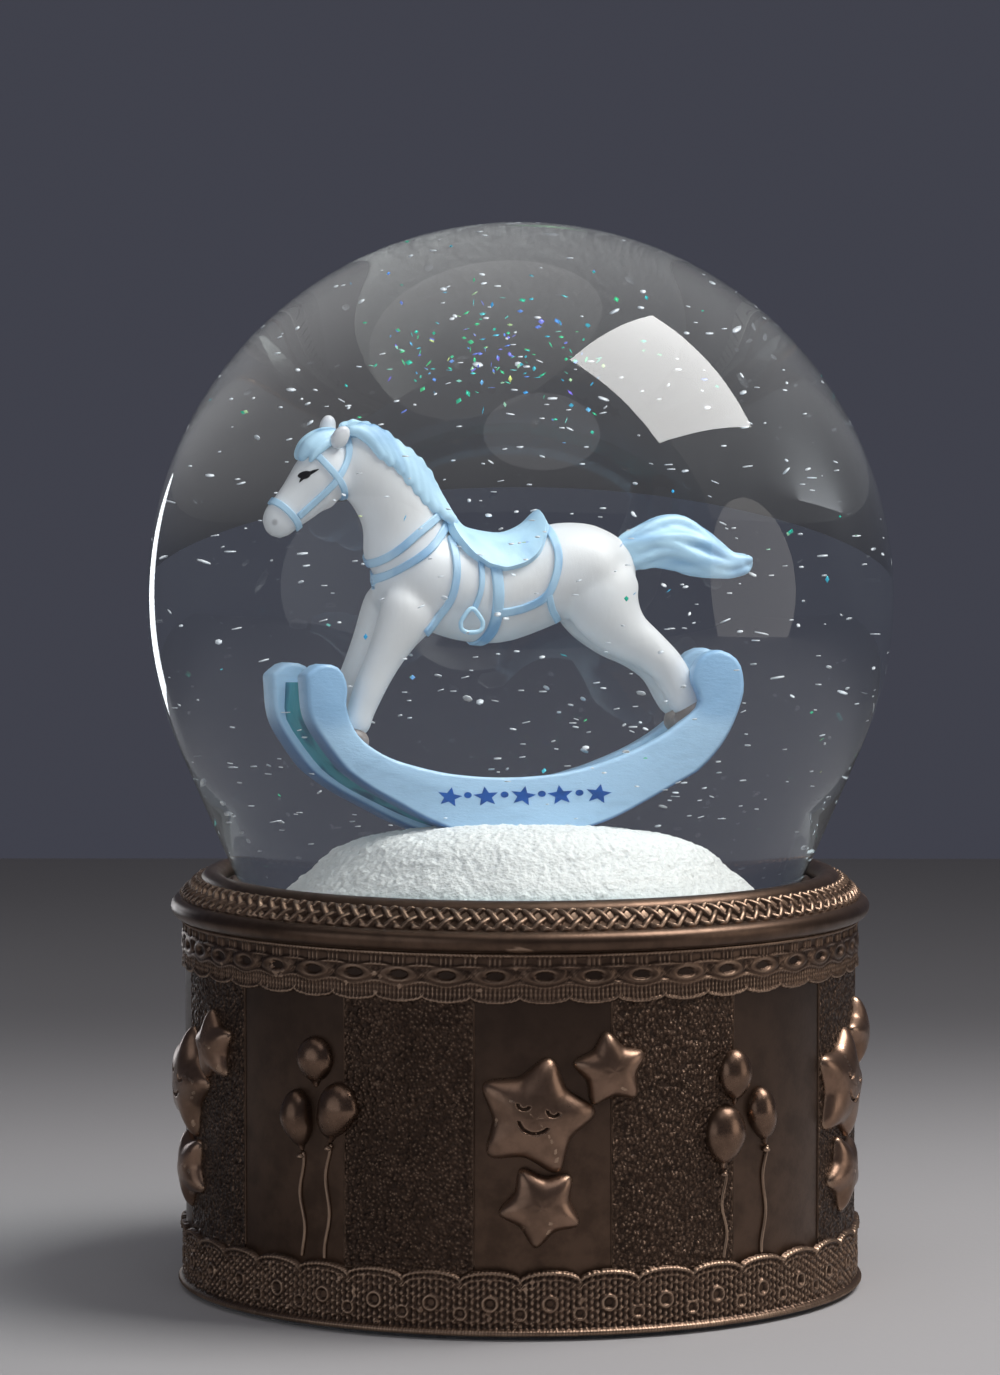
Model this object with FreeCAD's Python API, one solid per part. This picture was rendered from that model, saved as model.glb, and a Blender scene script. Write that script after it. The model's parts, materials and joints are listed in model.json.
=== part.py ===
import FreeCAD, Part
import math
import os

# Musical water globe: a rocking horse on a snow mound, in a liquid-filled glass globe on a cast base
# with an 18-note wind-up movement.  Millimetres.  The origin is at the middle of the underside,
# +Z is up and the front faces -Y.

# ---- driving dimensions: globe ----
globe_r = 50.0
glass_wall = 2.7
cone_start_deg = 23.6       # below this angle the ball runs on as a tangent cone
neck_r = 36.8
neck_depth = 11.2           # the neck ends this far below the top of the base

# ---- driving dimensions: cast base ----
base_h = 55.2               # up to the upper edge of the woven band
foot_z = 0.4
drum_wall = 4.0
band_proud = 0.5            # lace bands stand this far out of the drum
lower_band_h = 8.2
upper_band_h = 5.9
lip_r = 1.4                 # half-round lip
weave_h = 2.7
bead_r = 1.65               # round bead at the top of the base
pocket_gap = 0.8            # sealant thickness round the neck
stopper_flange_t = 2.0
stopper_plug_h = 8.0
partition_t = 3.0
partition_hole_r = 22.0
boss_r = 4.0
boss_degs = (60, 180, 300)

# ---- driving dimensions: underside ----
felt_t = 1.0
felt_w = 3.1
cover_z = 13.0
cover_t = 2.0
cover_gap = 0.4
key_hole_r = 3.2
key_gap = 1.0               # between the key's hub and the cover

# ---- driving dimensions: relief on the drum ----
relief_proud = 1.9
star_groups_deg = (3.4, 70.0, 142.0, 215.0, 286.5)
balloon_groups_deg = (40.0, 106.0, 178.0, 251.0, 324.0)

# ---- driving dimensions: figure ----
figure_yaw = 16.0           # the head end is turned towards the front
runner_spacing = 9.0        # middle to middle
runner_t = 3.0
mound_h = 17.4
mound_gap = 3.1             # between the mound's foot and the neck's inside

# ---- driving dimensions: screws ----
screw_r = 1.2
small_screw_r = 0.9
screw_head_h = 1.2
screw_slot_w = 0.6
screw_slot_depth = 0.5

# ---- driving dimensions: movement ----
plate_t = 2.0
plate_x = (-14.0, 34.0)
plate_y = (-20.0, 20.0)
housing_r = 11.5
housing_h = 9.0
sheet_t = 0.6
arbor_r = 1.5
hub_r = 2.5                 # the spring's inner end is hooked on this hub
spring_strip = 0.3
spring_turns = 8
running_gap = 0.05          # radial clearance of every shaft in its bearing
crown_inner_r = 9.8
crown_outer_r = 11.8
crown_disc_t = 1.2
crown_teeth = 36
crown_module = 0.6
pinion_teeth = 12
cylinder_r = 6.0
cylinder_wall = 0.8
cylinder_x = (14.0, 26.0)
comb_teeth = 18
comb_y = (-19.5, -14.5)     # the comb's clamped back
comb_t = 1.0
comb_slot_w = 0.16
comb_gap = 0.15             # the comb's tips stop this far short of the pins
pins_per_tooth = 5
pin_r = 0.2
pin_proud = 0.45
spindle_r = 0.75
post_x = (12.4, 13.4)
drive_module = 0.4
drive_teeth = 32
wheel_pinion_teeth = 8
wheel_axle_r = 0.5
wheel_drop_deg = 40.0       # the governor wheel's axle is below the cylinder's by this angle
worm_module = 0.5
worm_wheel_teeth = 24
worm_r = 1.5
worm_turns = 4
worm_pivot_r = 0.4
bracket_foot_t = 1.2
bracket_cheek_t = 1.0
window_gap = 0.2              # the cheeks are open this far beyond the worm
fan_r = 4.3
fan_h = 3.0
mesh_gap = 0.05             # added to each centre distance
movement_screws = ((-10.5, 16.5), (-10.5, -16.5), (20.0, 16.5))
governor_screws_y = (-1.5, 17.5)

# ---- worked out from them ----
V = FreeCAD.Vector
drum_r = neck_r + 8.2
band_r = drum_r + band_proud
cavity_r = drum_r - drum_wall
bead_ring_r = neck_r + 4.55
lip_z = base_h - weave_h - lip_r
upper_band_top_z = lip_z - lip_r
pocket_r = neck_r + pocket_gap
neck_end_z = base_h - neck_depth
pocket_floor_z = neck_end_z - stopper_flange_t
partition_z = pocket_floor_z - partition_t
boss_ring_r = cavity_r - 4.5
felt_inner_r = cavity_r + 0.6
felt_outer_r = felt_inner_r + felt_w
cone_rim_r = neck_r + 1.6   # the glass cone's radius level with the top of the base
ball_end_z = base_h + 0.3 + (globe_r * math.cos(math.radians(cone_start_deg)) - cone_rim_r) / math.tan(
    math.radians(cone_start_deg))
globe_z = ball_end_z + globe_r * math.sin(math.radians(cone_start_deg))
mound_base_z = neck_end_z + stopper_plug_h
mound_base_r = neck_r - glass_wall - mound_gap
mound_top_z = mound_base_z + mound_h
figure_scale = globe_r / 50.0   # the figure's own sizes suit a ball of this radius
cover_top = cover_z + cover_t
plate_top = cover_top + plate_t
housing_top = plate_top + housing_h
crown_base = housing_top + 0.3
crown_root_z = crown_base + crown_disc_t
pinion_r = crown_module * pinion_teeth / 2
axle_z = crown_root_z + 1.25 * crown_module + pinion_r
key_top = cover_z - key_gap
key_bore_z = key_top - 6.0
drive_x = (cylinder_x[1] + 0.4, cylinder_x[1] + 1.6)
inner_cheek_x = (drive_x[1] + 0.5, drive_x[1] + 0.5 + bracket_cheek_t)
wheel_x = (inner_cheek_x[1] + 0.6, inner_cheek_x[1] + 2.2)
outer_cheek_x = (wheel_x[1] + 0.6, wheel_x[1] + 0.6 + bracket_cheek_t)
centre_distance = drive_module * (drive_teeth + wheel_pinion_teeth) / 2 + mesh_gap
wheel_y = centre_distance * math.cos(math.radians(wheel_drop_deg))
wheel_z = axle_z - centre_distance * math.sin(math.radians(wheel_drop_deg))
worm_wheel_r = worm_module * worm_wheel_teeth / 2
worm_x = (wheel_x[0] + wheel_x[1]) / 2
worm_y = wheel_y + worm_wheel_r + worm_r + 2 * mesh_gap
worm_foot_z = plate_top + bracket_foot_t / 2
bridge_z = axle_z + 0.55
bridge_top = bridge_z + 1.0
fan_z = (bridge_top + 0.6, bridge_top + 0.6 + fan_h)
comb_screw_y = sum(comb_y) / 2
comb_screws_x = (cylinder_x[0] + 3, cylinder_x[1] - 3)


# ---- small helpers ----
def save(name, shape):
    """Write one piece to its own file, after checking that it is sound."""
    if not shape.isValid():
        raise ValueError(name + " is not a valid shape")
    shape.exportStep("parts/" + name + ".step")
    print(name, len(shape.Solids), round(shape.Volume, 1))


def rod(radius, z0, z1, x=0.0, y=0.0):
    """A vertical cylinder."""
    return Part.makeCylinder(radius, z1 - z0, V(x, y, z0), V(0, 0, 1))


def ring(inner, outer, z0, z1, x=0.0, y=0.0):
    """A vertical tube."""
    return rod(outer, z0, z1, x, y).cut(rod(inner, z0 - 1, z1 + 1, x, y))


def axle(radius, x0, x1, y, z):
    """A cylinder along X."""
    return Part.makeCylinder(radius, x1 - x0, V(x0, y, z), V(1, 0, 0))


def box(x, y, z):
    """A box from three (low, high) pairs."""
    return Part.makeBox(x[1] - x[0], y[1] - y[0], z[1] - z[0], V(x[0], y[0], z[0]))


def at_angle(radius, deg):
    """The (x, y) of a point on a circle about the main axis."""
    return (radius * math.cos(math.radians(deg)), radius * math.sin(math.radians(deg)))


def outline(start, *moves):
    """A closed wire in the XZ plane: a point draws a line, a (via, end) pair draws an arc."""
    here = V(start[0], 0, start[1])
    first = here
    edges = []
    for move in moves:
        if isinstance(move[0], tuple):
            via = V(move[0][0], 0, move[0][1])
            end = V(move[1][0], 0, move[1][1])
            edges.append(Part.Arc(here, via, end).toShape())
        else:
            end = V(move[0], 0, move[1])
            edges.append(Part.LineSegment(here, end).toShape())
        here = end
    if here.distanceToPoint(first) > 1e-6:
        edges.append(Part.LineSegment(here, first).toShape())
    return Part.Wire(edges)


def turned(wire):
    """The solid swept by a profile turned about the main axis."""
    return Part.Face(wire).revolve(V(0, 0, 0), V(0, 0, 1), 360)


def plate(points, y0, y1):
    """A plate of the XZ outline, from y0 to y1; a smooth closed curve passes through the points."""
    curve = Part.BSplineCurve()
    curve.interpolate([V(x, y0, z) for x, z in points], PeriodicFlag=True)
    face = Part.Face(Part.Wire([curve.toShape()]))
    return face.extrude(V(0, y1 - y0, 0))


def blob(x, z, tilt, along, radius, y=0.0):
    """An egg of revolution: half its length and its radius; tilt raises the +X end."""
    curve = Part.Ellipse(V(0, 0, 0), along, radius)
    half = Part.Arc(curve, 0, math.pi).toShape()
    axis = Part.LineSegment(V(-along, 0, 0), V(along, 0, 0)).toShape()
    egg = Part.Face(Part.Wire([half, axis])).revolve(V(0, 0, 0), V(1, 0, 0), 360)
    egg.rotate(V(0, 0, 0), V(0, 1, 0), -tilt)
    egg.translate(V(x, y, z))
    return egg


def limb(*joints, y=0.0):
    """Cones between (x, z, radius) joints, with a ball a little larger at each joint."""
    pieces = []
    for (x0, z0, r0), (x1, z1, r1) in zip(joints, joints[1:]):
        start = V(x0, y, z0)
        way = V(x1, y, z1) - start
        pieces.append(Part.makeCone(r0, r1, way.Length, start, way))
    for x, z, r in joints:
        pieces.append(Part.makeSphere(1.04 * r, V(x, y, z)))
    return pieces


def fuse_all(shapes):
    return shapes[0].multiFuse(shapes[1:]).removeSplitter()


# ---- globe ----
def globe_points(inset):
    """Where the ball ends, where the cone ends, and a point on the ball between top and end."""
    a = math.radians(cone_start_deg)
    r = globe_r - inset
    ball_end = (r * math.cos(a), globe_z - r * math.sin(a))
    run = (ball_end[0] - (neck_r - inset)) / math.sin(a)
    cone_end = (neck_r - inset, ball_end[1] - run * math.cos(a))
    middle = math.radians(35)
    on_ball = (r * math.cos(middle), globe_z + r * math.sin(middle))
    return ball_end, cone_end, on_ball


def make_globe():
    ball_end, cone_end, on_ball = globe_points(0)
    inner_end, inner_cone, inner_ball = globe_points(glass_wall)
    return turned(outline(
        (0, globe_z + globe_r), (on_ball, ball_end), cone_end, (neck_r, neck_end_z),
        (neck_r - glass_wall, neck_end_z), inner_cone, inner_end,
        (inner_ball, (0, globe_z + globe_r - glass_wall))))


def make_liquid(*solids):
    """The filling: everything inside the glass above the stopper, less what stands in it."""
    inner_end, inner_cone, inner_ball = globe_points(glass_wall)
    top = (0, globe_z + globe_r - glass_wall)
    fill = turned(outline(
        top, (inner_ball, inner_end), inner_cone, (neck_r - glass_wall, mound_base_z),
        (0, mound_base_z)))
    for solid in solids:
        fill = fill.cut(solid)
    return fill


def make_stopper():
    plug = rod(neck_r - glass_wall, neck_end_z, mound_base_z)
    flange = rod(neck_r, pocket_floor_z, neck_end_z)
    return fuse_all([plug, flange])


def make_sealant():
    return ring(neck_r, neck_r + pocket_gap, neck_end_z, globe_points(0)[1][1])


# ---- figure ----
# the mound's slope, as shares of its foot radius and of its height
mound_slope = (
    (0.0, 1.0), (0.39, 0.93), (0.565, 0.85), (0.68, 0.745), (0.775, 0.56), (0.905, 0.275), (1.0, 0.0))


def make_mound():
    points = [V(mound_base_r * out, 0, mound_base_z + mound_h * up) for out, up in mound_slope]
    slope = Part.BSplineCurve()
    slope.interpolate(points)
    middle = V(0, 0, mound_base_z)
    floor = Part.LineSegment(points[-1], middle)
    axis = Part.LineSegment(middle, points[0])
    return turned(Part.Wire([slope.toShape(), floor.toShape(), axis.toShape()]))


def placed(shape):
    """Figure pieces are drawn from the mound's top, at the size that suits the usual ball."""
    shape.scale(figure_scale, V(0, 0, 0))
    shape.translate(V(0, 0, mound_top_z))
    shape.rotate(V(0, 0, 0), V(0, 0, 1), figure_yaw)
    return shape


def make_horse():
    """The horse stands across the globe with its head towards -X."""
    pieces = [
        blob(-1.2, 24.6, 0, 14.2, 5.5),         # barrel
        blob(-10.4, 25.8, 30, 6.2, 4.9),        # chest
        blob(8.0, 25.2, -12, 5.4, 4.8),         # croup
        blob(-15.3, 31.8, -50, 8.6, 3.2),       # throat
        blob(-12.7, 34.0, -50, 8.8, 3.1),       # crest
        blob(-22.4, 36.0, 38, 5.6, 2.9),        # head
        blob(-25.6, 32.6, 40, 3.6, 2.0),        # muzzle
        blob(16.6, 27.5, -12, 6.6, 2.2),        # tail
        blob(-2.0, 26.0, 0, 5.8, 5.6),          # saddle
    ]
    for side in (-1, 1):
        away = side * 2.9
        pieces += limb(
            (-11.8, 22.0, 3.0), (-16.0, 17.2, 1.9), (-17.0, 13.2, 1.7), (-18.0, 8.6, 1.6), y=away)
        pieces += limb((8.6, 22.2, 3.8), (13.4, 17.4, 2.0), (16.0, 13.8, 1.8), (17.8, 10.2, 1.6), y=away)
        pieces.append(blob(-21.2, 40.2, 80, 2.4, 0.85, side * 1.5))
    return placed(fuse_all(pieces))


def make_rocker(mound):
    """Two runners with scrolled ends, joined by a recessed web."""
    runner = (
        (-25.8, 15.2), (-23.9, 16.4), (-21.7, 16.0), (-20.8, 14.2), (-20.9, 12.0), (-19.7, 9.0),
        (-16.8, 6.9), (-8.5, 4.9), (-0.5, 4.8), (9.4, 7.2), (14.7, 10.0), (17.2, 12.5),
        (16.4, 14.8), (17.2, 16.9), (19.0, 17.7), (21.0, 16.7), (21.6, 13.8), (19.5, 8.2),
        (14.7, 3.7), (8.0, -1.1), (0.0, -3.6), (-8.0, -3.1), (-15.0, 0.6), (-21.2, 5.1),
        (-25.1, 10.2))
    web = (
        (-22.2, 10.6), (-16.0, 5.2), (-8.5, 2.9), (0.0, 2.8), (9.0, 5.2), (15.0, 8.6),
        (18.2, 11.0), (15.0, 6.4), (8.0, 1.2), (0.0, -1.2), (-8.0, -0.6), (-15.0, 2.6),
        (-21.0, 7.2))
    half = runner_spacing / 2
    near = plate(runner, -half - runner_t / 2, -half + runner_t / 2)
    far = plate(runner, half - runner_t / 2, half + runner_t / 2)
    middle = plate(web, -half, half)
    return placed(fuse_all([near, middle, far])).cut(mound)


# ---- cast base ----
def star_points(tip_r, turn):
    """The ten corners of a star in the XZ plane, one tip up, then turned anticlockwise."""
    points = []
    for step in range(10):
        r = tip_r if step % 2 == 0 else 0.52 * tip_r
        a = math.radians(90 + turn + 36 * step)
        points.append((r * math.cos(a), r * math.sin(a)))
    return points


def star(deg, z, tip_r, turn):
    """A star standing out of the drum at an angle round from the front."""
    corners = [V(x, -drum_r + 2, z + up) for x, up in star_points(tip_r, turn)]
    face = Part.Face(Part.makePolygon(corners + corners[:1]))
    solid = face.extrude(V(0, -2 - relief_proud, 0))
    solid.rotate(V(0, 0, 0), V(0, 0, 1), deg)
    return solid


def balloon(deg, z, half_w, half_h):
    """An oval balloon, half sunk in the drum."""
    ball = Part.makeSphere(1.0)
    matrix = FreeCAD.Matrix()
    matrix.scale(half_w, relief_proud, half_h)
    ball = ball.transformGeometry(matrix)
    ball.translate(V(0, -drum_r, z))
    ball.rotate(V(0, 0, 0), V(0, 0, 1), deg)
    return ball


def make_base():
    bead_z = base_h - 0.8
    sealed_z = globe_points(0)[1][1]
    shell = turned(outline(
        (cavity_r, foot_z), (band_r, foot_z), (band_r, foot_z + lower_band_h),
        (drum_r, foot_z + lower_band_h + band_proud), (drum_r, upper_band_top_z - upper_band_h),
        (band_r, upper_band_top_z - upper_band_h + band_proud), (band_r, upper_band_top_z),
        ((band_r + lip_r, lip_z), (band_r, lip_z + lip_r)),
        (bead_ring_r + bead_r, base_h), (bead_ring_r + bead_r, bead_z),
        ((bead_ring_r, bead_z + bead_r), (bead_ring_r - bead_r, bead_z)),
        (pocket_r + 0.6, sealed_z), (pocket_r, sealed_z),
        (pocket_r, pocket_floor_z), (partition_hole_r, pocket_floor_z),
        (partition_hole_r, partition_z), (cavity_r, partition_z)))
    shell = shell.cut(ring(felt_inner_r, felt_outer_r, 0, felt_t))
    pieces = [shell]
    for deg in boss_degs:
        pieces.append(rod(boss_r, cover_top, partition_z + 1, *at_angle(boss_ring_r, deg)))
    for deg in star_groups_deg:
        pieces.append(star(deg - 0.1, 29.2, 7.2, -8))
        pieces.append(star(deg + 11.4, 35.0, 4.6, 9))
        pieces.append(star(deg, 17.5, 5.3, 28))
    for deg in balloon_groups_deg:
        pieces.append(balloon(deg - 2.3, 32.9, 2.4, 3.6))
        pieces.append(balloon(deg - 4.3, 25.5, 3.0, 4.1))
        pieces.append(balloon(deg + 3.5, 27.5, 2.4, 3.7))
    base = fuse_all(pieces)
    for deg in boss_degs:
        base = base.cut(rod(screw_r, cover_top, cover_top + 9, *at_angle(boss_ring_r, deg)))
    return base


# ---- screws ----
def screw(x, y, seat_z, shank_r, head_r, length, way):
    """A slotted pan-head screw; way is 1 where it points up from its seat and -1 where down."""
    head_end = seat_z - way * screw_head_h
    shank = rod(shank_r, *sorted((seat_z, seat_z + way * length)), x, y)
    head = rod(head_r, *sorted((seat_z, head_end)), x, y)
    slot_z = sorted((head_end, head_end + way * screw_slot_depth))
    slot = box((x - head_r, x + head_r), (y - screw_slot_w / 2, y + screw_slot_w / 2), slot_z)
    return fuse_all([shank, head]).cut(slot)


# ---- underside ----
def make_cover():
    cover = rod(cavity_r - cover_gap, cover_z, cover_top)
    cuts = [rod(key_hole_r, cover_z - 1, cover_top + 1)]
    for deg in boss_degs:
        cuts.append(rod(screw_r, cover_z - 1, cover_top + 1, *at_angle(boss_ring_r, deg)))
    for x, y in movement_screws:
        cuts.append(rod(screw_r, cover_z - 1, cover_top + 1, x, y))
    for hole in cuts:
        cover = cover.cut(hole)
    return cover


# ---- movement ----
def gear(teeth, module, x0, x1, y, z, tooth_deg, slack=0.18):
    """A spur gear on an axle along X, with a tooth at tooth_deg round from +Y towards +Z."""
    pitch_r = module * teeth / 2
    tip_r = pitch_r + 0.95 * module
    root_r = pitch_r - 1.2 * module
    half_pitch = math.pi / teeth / 2
    base_r = pitch_r * math.cos(math.radians(20))
    slack_angle = slack * module / pitch_r

    def involute(r):
        a = math.acos(min(1.0, base_r / r))
        return math.tan(a) - a

    flank = []
    for r in (max(base_r, root_r), pitch_r, tip_r):
        flank.append((r, half_pitch - slack_angle - involute(r) + involute(pitch_r)))
    if root_r < base_r:
        flank.insert(0, (root_r, flank[0][1]))
    points = []
    for tooth in range(teeth):
        middle = math.radians(tooth_deg) + 2 * math.pi * tooth / teeth
        sides = [(r, -a) for r, a in flank] + [(r, a) for r, a in reversed(flank)]
        for r, a in sides:
            points.append(V(x0, y + r * math.cos(middle + a), z + r * math.sin(middle + a)))
    face = Part.Face(Part.makePolygon(points + points[:1]))
    return face.extrude(V(x1 - x0, 0, 0))


def make_bedplate():
    bed = box(plate_x, plate_y, (cover_top, plate_top))
    comb_block = box(cylinder_x, comb_y, (plate_top, axle_z - comb_t / 2))
    post = box(post_x, (-3, 3), (plate_top, axle_z + 2))
    pieces = [bed, comb_block, post]
    for x, y in movement_screws:
        pieces.append(rod(2.5, plate_top, plate_top + 3, x, y))
    bed = fuse_all(pieces)
    bed = bed.cut(rod(arbor_r + running_gap, cover_top, plate_top, 0, 0))
    bed = bed.cut(axle(spindle_r + running_gap, *post_x, 0, axle_z))
    for x, y in movement_screws:
        bed = bed.cut(rod(screw_r, cover_top, plate_top + 3, x, y))
    for x in comb_screws_x:
        bed = bed.cut(rod(small_screw_r, axle_z - 7, axle_z, x, comb_screw_y))
    for y in governor_screws_y:
        bed = bed.cut(rod(small_screw_r, cover_top, plate_top, worm_x, y))
    return bed


def make_housing():
    """A pressed cup with a lid, both with a bearing hole for the arbor."""
    cup = rod(housing_r, plate_top, housing_top)
    inside = rod(housing_r - sheet_t, plate_top + sheet_t, housing_top - sheet_t)
    return cup.cut(inside).cut(rod(arbor_r + running_gap, plate_top, housing_top))



def make_mainspring():
    """A flat strip wound in a spiral between the arbor's hub and the housing's wall."""
    inner_r = hub_r + 0.4
    outer_r = housing_r - sheet_t - 0.4
    steps = spring_turns * 12
    sides = []
    for offset in (0, spring_strip):
        points = []
        for step in range(steps + 1):
            a = 2 * math.pi * step / 12
            r = inner_r + (outer_r - spring_strip - inner_r) * step / steps + offset
            points.append(V(r * math.cos(a), r * math.sin(a), 0))
        curve = Part.BSplineCurve()
        curve.interpolate(points)
        sides.append((curve.toShape(), points))
    start = Part.LineSegment(sides[0][1][0], sides[1][1][0]).toShape()
    end = Part.LineSegment(sides[0][1][-1], sides[1][1][-1]).toShape()
    face = Part.Face(Part.Wire(Part.__sortEdges__([sides[0][0], end, sides[1][0], start])))
    spring = face.extrude(V(0, 0, housing_h - 2 * sheet_t - 1.0))
    spring.translate(V(0, 0, plate_top + sheet_t + 0.5))
    return spring



def make_arbor():
    shaft = rod(arbor_r, key_bore_z, crown_root_z)
    hub = rod(hub_r, plate_top + sheet_t + 0.3, housing_top - sheet_t - 0.3)
    return fuse_all([shaft, hub])


def make_key():
    """A butterfly key: two pierced wings on a hub."""
    wing_r = 4.2
    wing_x = 7.2
    wing_z = 6.4
    wing_t = 1.6
    wings = [rod(2.8, 4.0, key_top)]
    cuts = [rod(arbor_r, key_bore_z, key_top)]
    for side in (-1, 1):
        place = V(side * wing_x, -wing_t / 2, wing_z)
        wings.append(Part.makeCylinder(wing_r, wing_t, place, V(0, 1, 0)))
        cuts.append(Part.makeCylinder(1.7, wing_t, place, V(0, 1, 0)))
    wings.append(box((-wing_x, wing_x), (-wing_t / 2, wing_t / 2), (4.4, 8.4)))
    key = fuse_all(wings)
    for hole in cuts:
        key = key.cut(hole)
    return key


def make_crown_gear():
    """A face gear: radial teeth on the rim of a disc, pressed on the arbor."""
    tooth_h = 2.2 * crown_module
    disc = rod(crown_outer_r, crown_base, crown_root_z)
    rim = ring(crown_inner_r, crown_outer_r, crown_root_z, crown_root_z + tooth_h)
    low_half = 0.32
    high_half = low_half + tooth_h * math.tan(math.radians(20))
    slots = []
    for tooth in range(crown_teeth):
        corners = [
            V(crown_inner_r - 0.5, -low_half, crown_root_z), V(crown_inner_r - 0.5, low_half, crown_root_z),
            V(crown_inner_r - 0.5, high_half, crown_root_z + tooth_h),
            V(crown_inner_r - 0.5, -high_half, crown_root_z + tooth_h)]
        face = Part.Face(Part.makePolygon(corners + corners[:1]))
        slot = face.extrude(V(crown_outer_r - crown_inner_r + 1, 0, 0))
        slot.rotate(V(0, 0, 0), V(0, 0, 1), 360 * tooth / crown_teeth)
        slots.append(slot)
    rim = rim.cut(Part.makeCompound(slots))
    return fuse_all([disc, rim]).cut(rod(arbor_r, crown_base, crown_root_z))


def make_cylinder():
    """The pinned drum: a tube with two end discs, and its pins."""
    wall = cylinder_wall
    x0, x1 = cylinder_x
    drum = axle(cylinder_r, x0, x1, 0, axle_z).cut(axle(cylinder_r - wall, x0 + wall, x1 - wall, 0, axle_z))
    drum = drum.cut(axle(spindle_r, x0, x1, 0, axle_z))
    pins = []
    pitch = (x1 - x0) / comb_teeth
    for track in range(comb_teeth):
        for beat in range(pins_per_tooth):
            a = math.radians(137.5 * track + 360 * beat / pins_per_tooth + 11 * (beat % 3))
            out = V(0, math.cos(a), math.sin(a))
            start = V(x0 + pitch * (track + 0.5), 0, axle_z) + out * (cylinder_r - wall / 2)
            pins.append(Part.makeCylinder(pin_r, wall / 2 + pin_proud, start, out))
    return drum.multiFuse(pins)


def make_spindle():
    return axle(spindle_r, crown_inner_r - 0.4, inner_cheek_x[1], 0, axle_z)


def make_cylinder_pinion():
    pinion = gear(pinion_teeth, crown_module, crown_inner_r, crown_outer_r, 0, axle_z, -90)
    return pinion.cut(axle(spindle_r, crown_inner_r, crown_outer_r, 0, axle_z))


def make_drive_gear():
    """The gap between two teeth faces the governor wheel's axle."""
    tooth = -wheel_drop_deg + 180 / drive_teeth
    wheel = gear(drive_teeth, drive_module, *drive_x, 0, axle_z, tooth)
    return wheel.cut(axle(spindle_r, *drive_x, 0, axle_z))



def make_wheel_axle():
    """The governor wheel's axle and the pinion cut on it, with a tooth facing the drive gear."""
    pinion = gear(wheel_pinion_teeth, drive_module, *drive_x, wheel_y, wheel_z, 180 - wheel_drop_deg)
    shaft = axle(wheel_axle_r, drive_x[0] - 0.2, outer_cheek_x[1], wheel_y, wheel_z)
    return fuse_all([pinion, shaft])


def make_worm_wheel():
    """The gap between two teeth faces the worm."""
    wheel = gear(worm_wheel_teeth, worm_module, *wheel_x, wheel_y, wheel_z, 180 / worm_wheel_teeth)
    return wheel.cut(axle(wheel_axle_r, *wheel_x, wheel_y, wheel_z))



def make_worm():
    """A single-start right-hand worm on an upright shaft."""
    pitch = math.pi * worm_module
    height = pitch * worm_turns
    start_z = wheel_z - height / 2
    core_r = worm_r - 1.2 * worm_module
    tip_r = worm_r + 0.9 * worm_module
    helix = Part.makeHelix(pitch, height, worm_r)
    corners = [
        V(core_r - 0.2, 0, -0.42), V(tip_r, 0, -0.14), V(tip_r, 0, 0.14), V(core_r - 0.2, 0, 0.42)]
    profile = Part.makePolygon(corners + corners[:1])
    thread = Part.Wire(helix).makePipeShell([profile], True, True)
    thread.rotate(V(0, 0, 0), V(0, 0, 1), -90)
    thread.translate(V(worm_x, worm_y, start_z))
    core = rod(core_r, start_z - 1.5, start_z + height + 0.6, worm_x, worm_y)
    shaft = rod(worm_pivot_r, worm_foot_z, fan_z[1], worm_x, worm_y)
    return fuse_all([core, shaft]).fuse(thread)


def make_fan():
    """The air brake: four upright vanes on a hub, pressed on the worm's shaft."""
    vane_t = 0.5
    hub = rod(1.2, *fan_z, worm_x, worm_y)
    across = box((worm_x - fan_r, worm_x + fan_r), (worm_y - vane_t / 2, worm_y + vane_t / 2), fan_z)
    along = box((worm_x - vane_t / 2, worm_x + vane_t / 2), (worm_y - fan_r, worm_y + fan_r), fan_z)
    return fuse_all([hub, across, along]).cut(rod(worm_pivot_r, *fan_z, worm_x, worm_y))


def make_governor_frame():
    """A bracket of two cheeks on a foot, with a bridge that holds the worm's upper bearing."""
    foot_top = plate_top + bracket_foot_t
    top = bridge_top
    foot = box((inner_cheek_x[0], outer_cheek_x[1]), (-3.5, 19.5), (plate_top, foot_top))
    inner = box(inner_cheek_x, (-3, 16.5), (plate_top, top))
    outer = box(outer_cheek_x, (3, 16.5), (plate_top, top))
    bridge = box((inner_cheek_x[0], outer_cheek_x[1]), (11.6, 16.5), (bridge_z, top))
    frame = fuse_all([foot, inner, outer, bridge])
    half = worm_r + 0.9 * worm_module + window_gap
    window_y = (worm_y - half, worm_y + half)
    frame = frame.cut(box((inner_cheek_x[0], outer_cheek_x[1]), window_y, (foot_top, bridge_z)))
    frame = frame.cut(axle(spindle_r + running_gap, *inner_cheek_x, 0, axle_z))
    frame = frame.cut(axle(wheel_axle_r + running_gap, inner_cheek_x[0], outer_cheek_x[1], wheel_y, wheel_z))
    frame = frame.cut(rod(worm_pivot_r + running_gap, worm_foot_z, foot_top, worm_x, worm_y))
    frame = frame.cut(rod(worm_pivot_r + running_gap, bridge_z, top, worm_x, worm_y))
    for y in governor_screws_y:
        frame = frame.cut(rod(small_screw_r, plate_top, foot_top, worm_x, y))
    return frame


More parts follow.
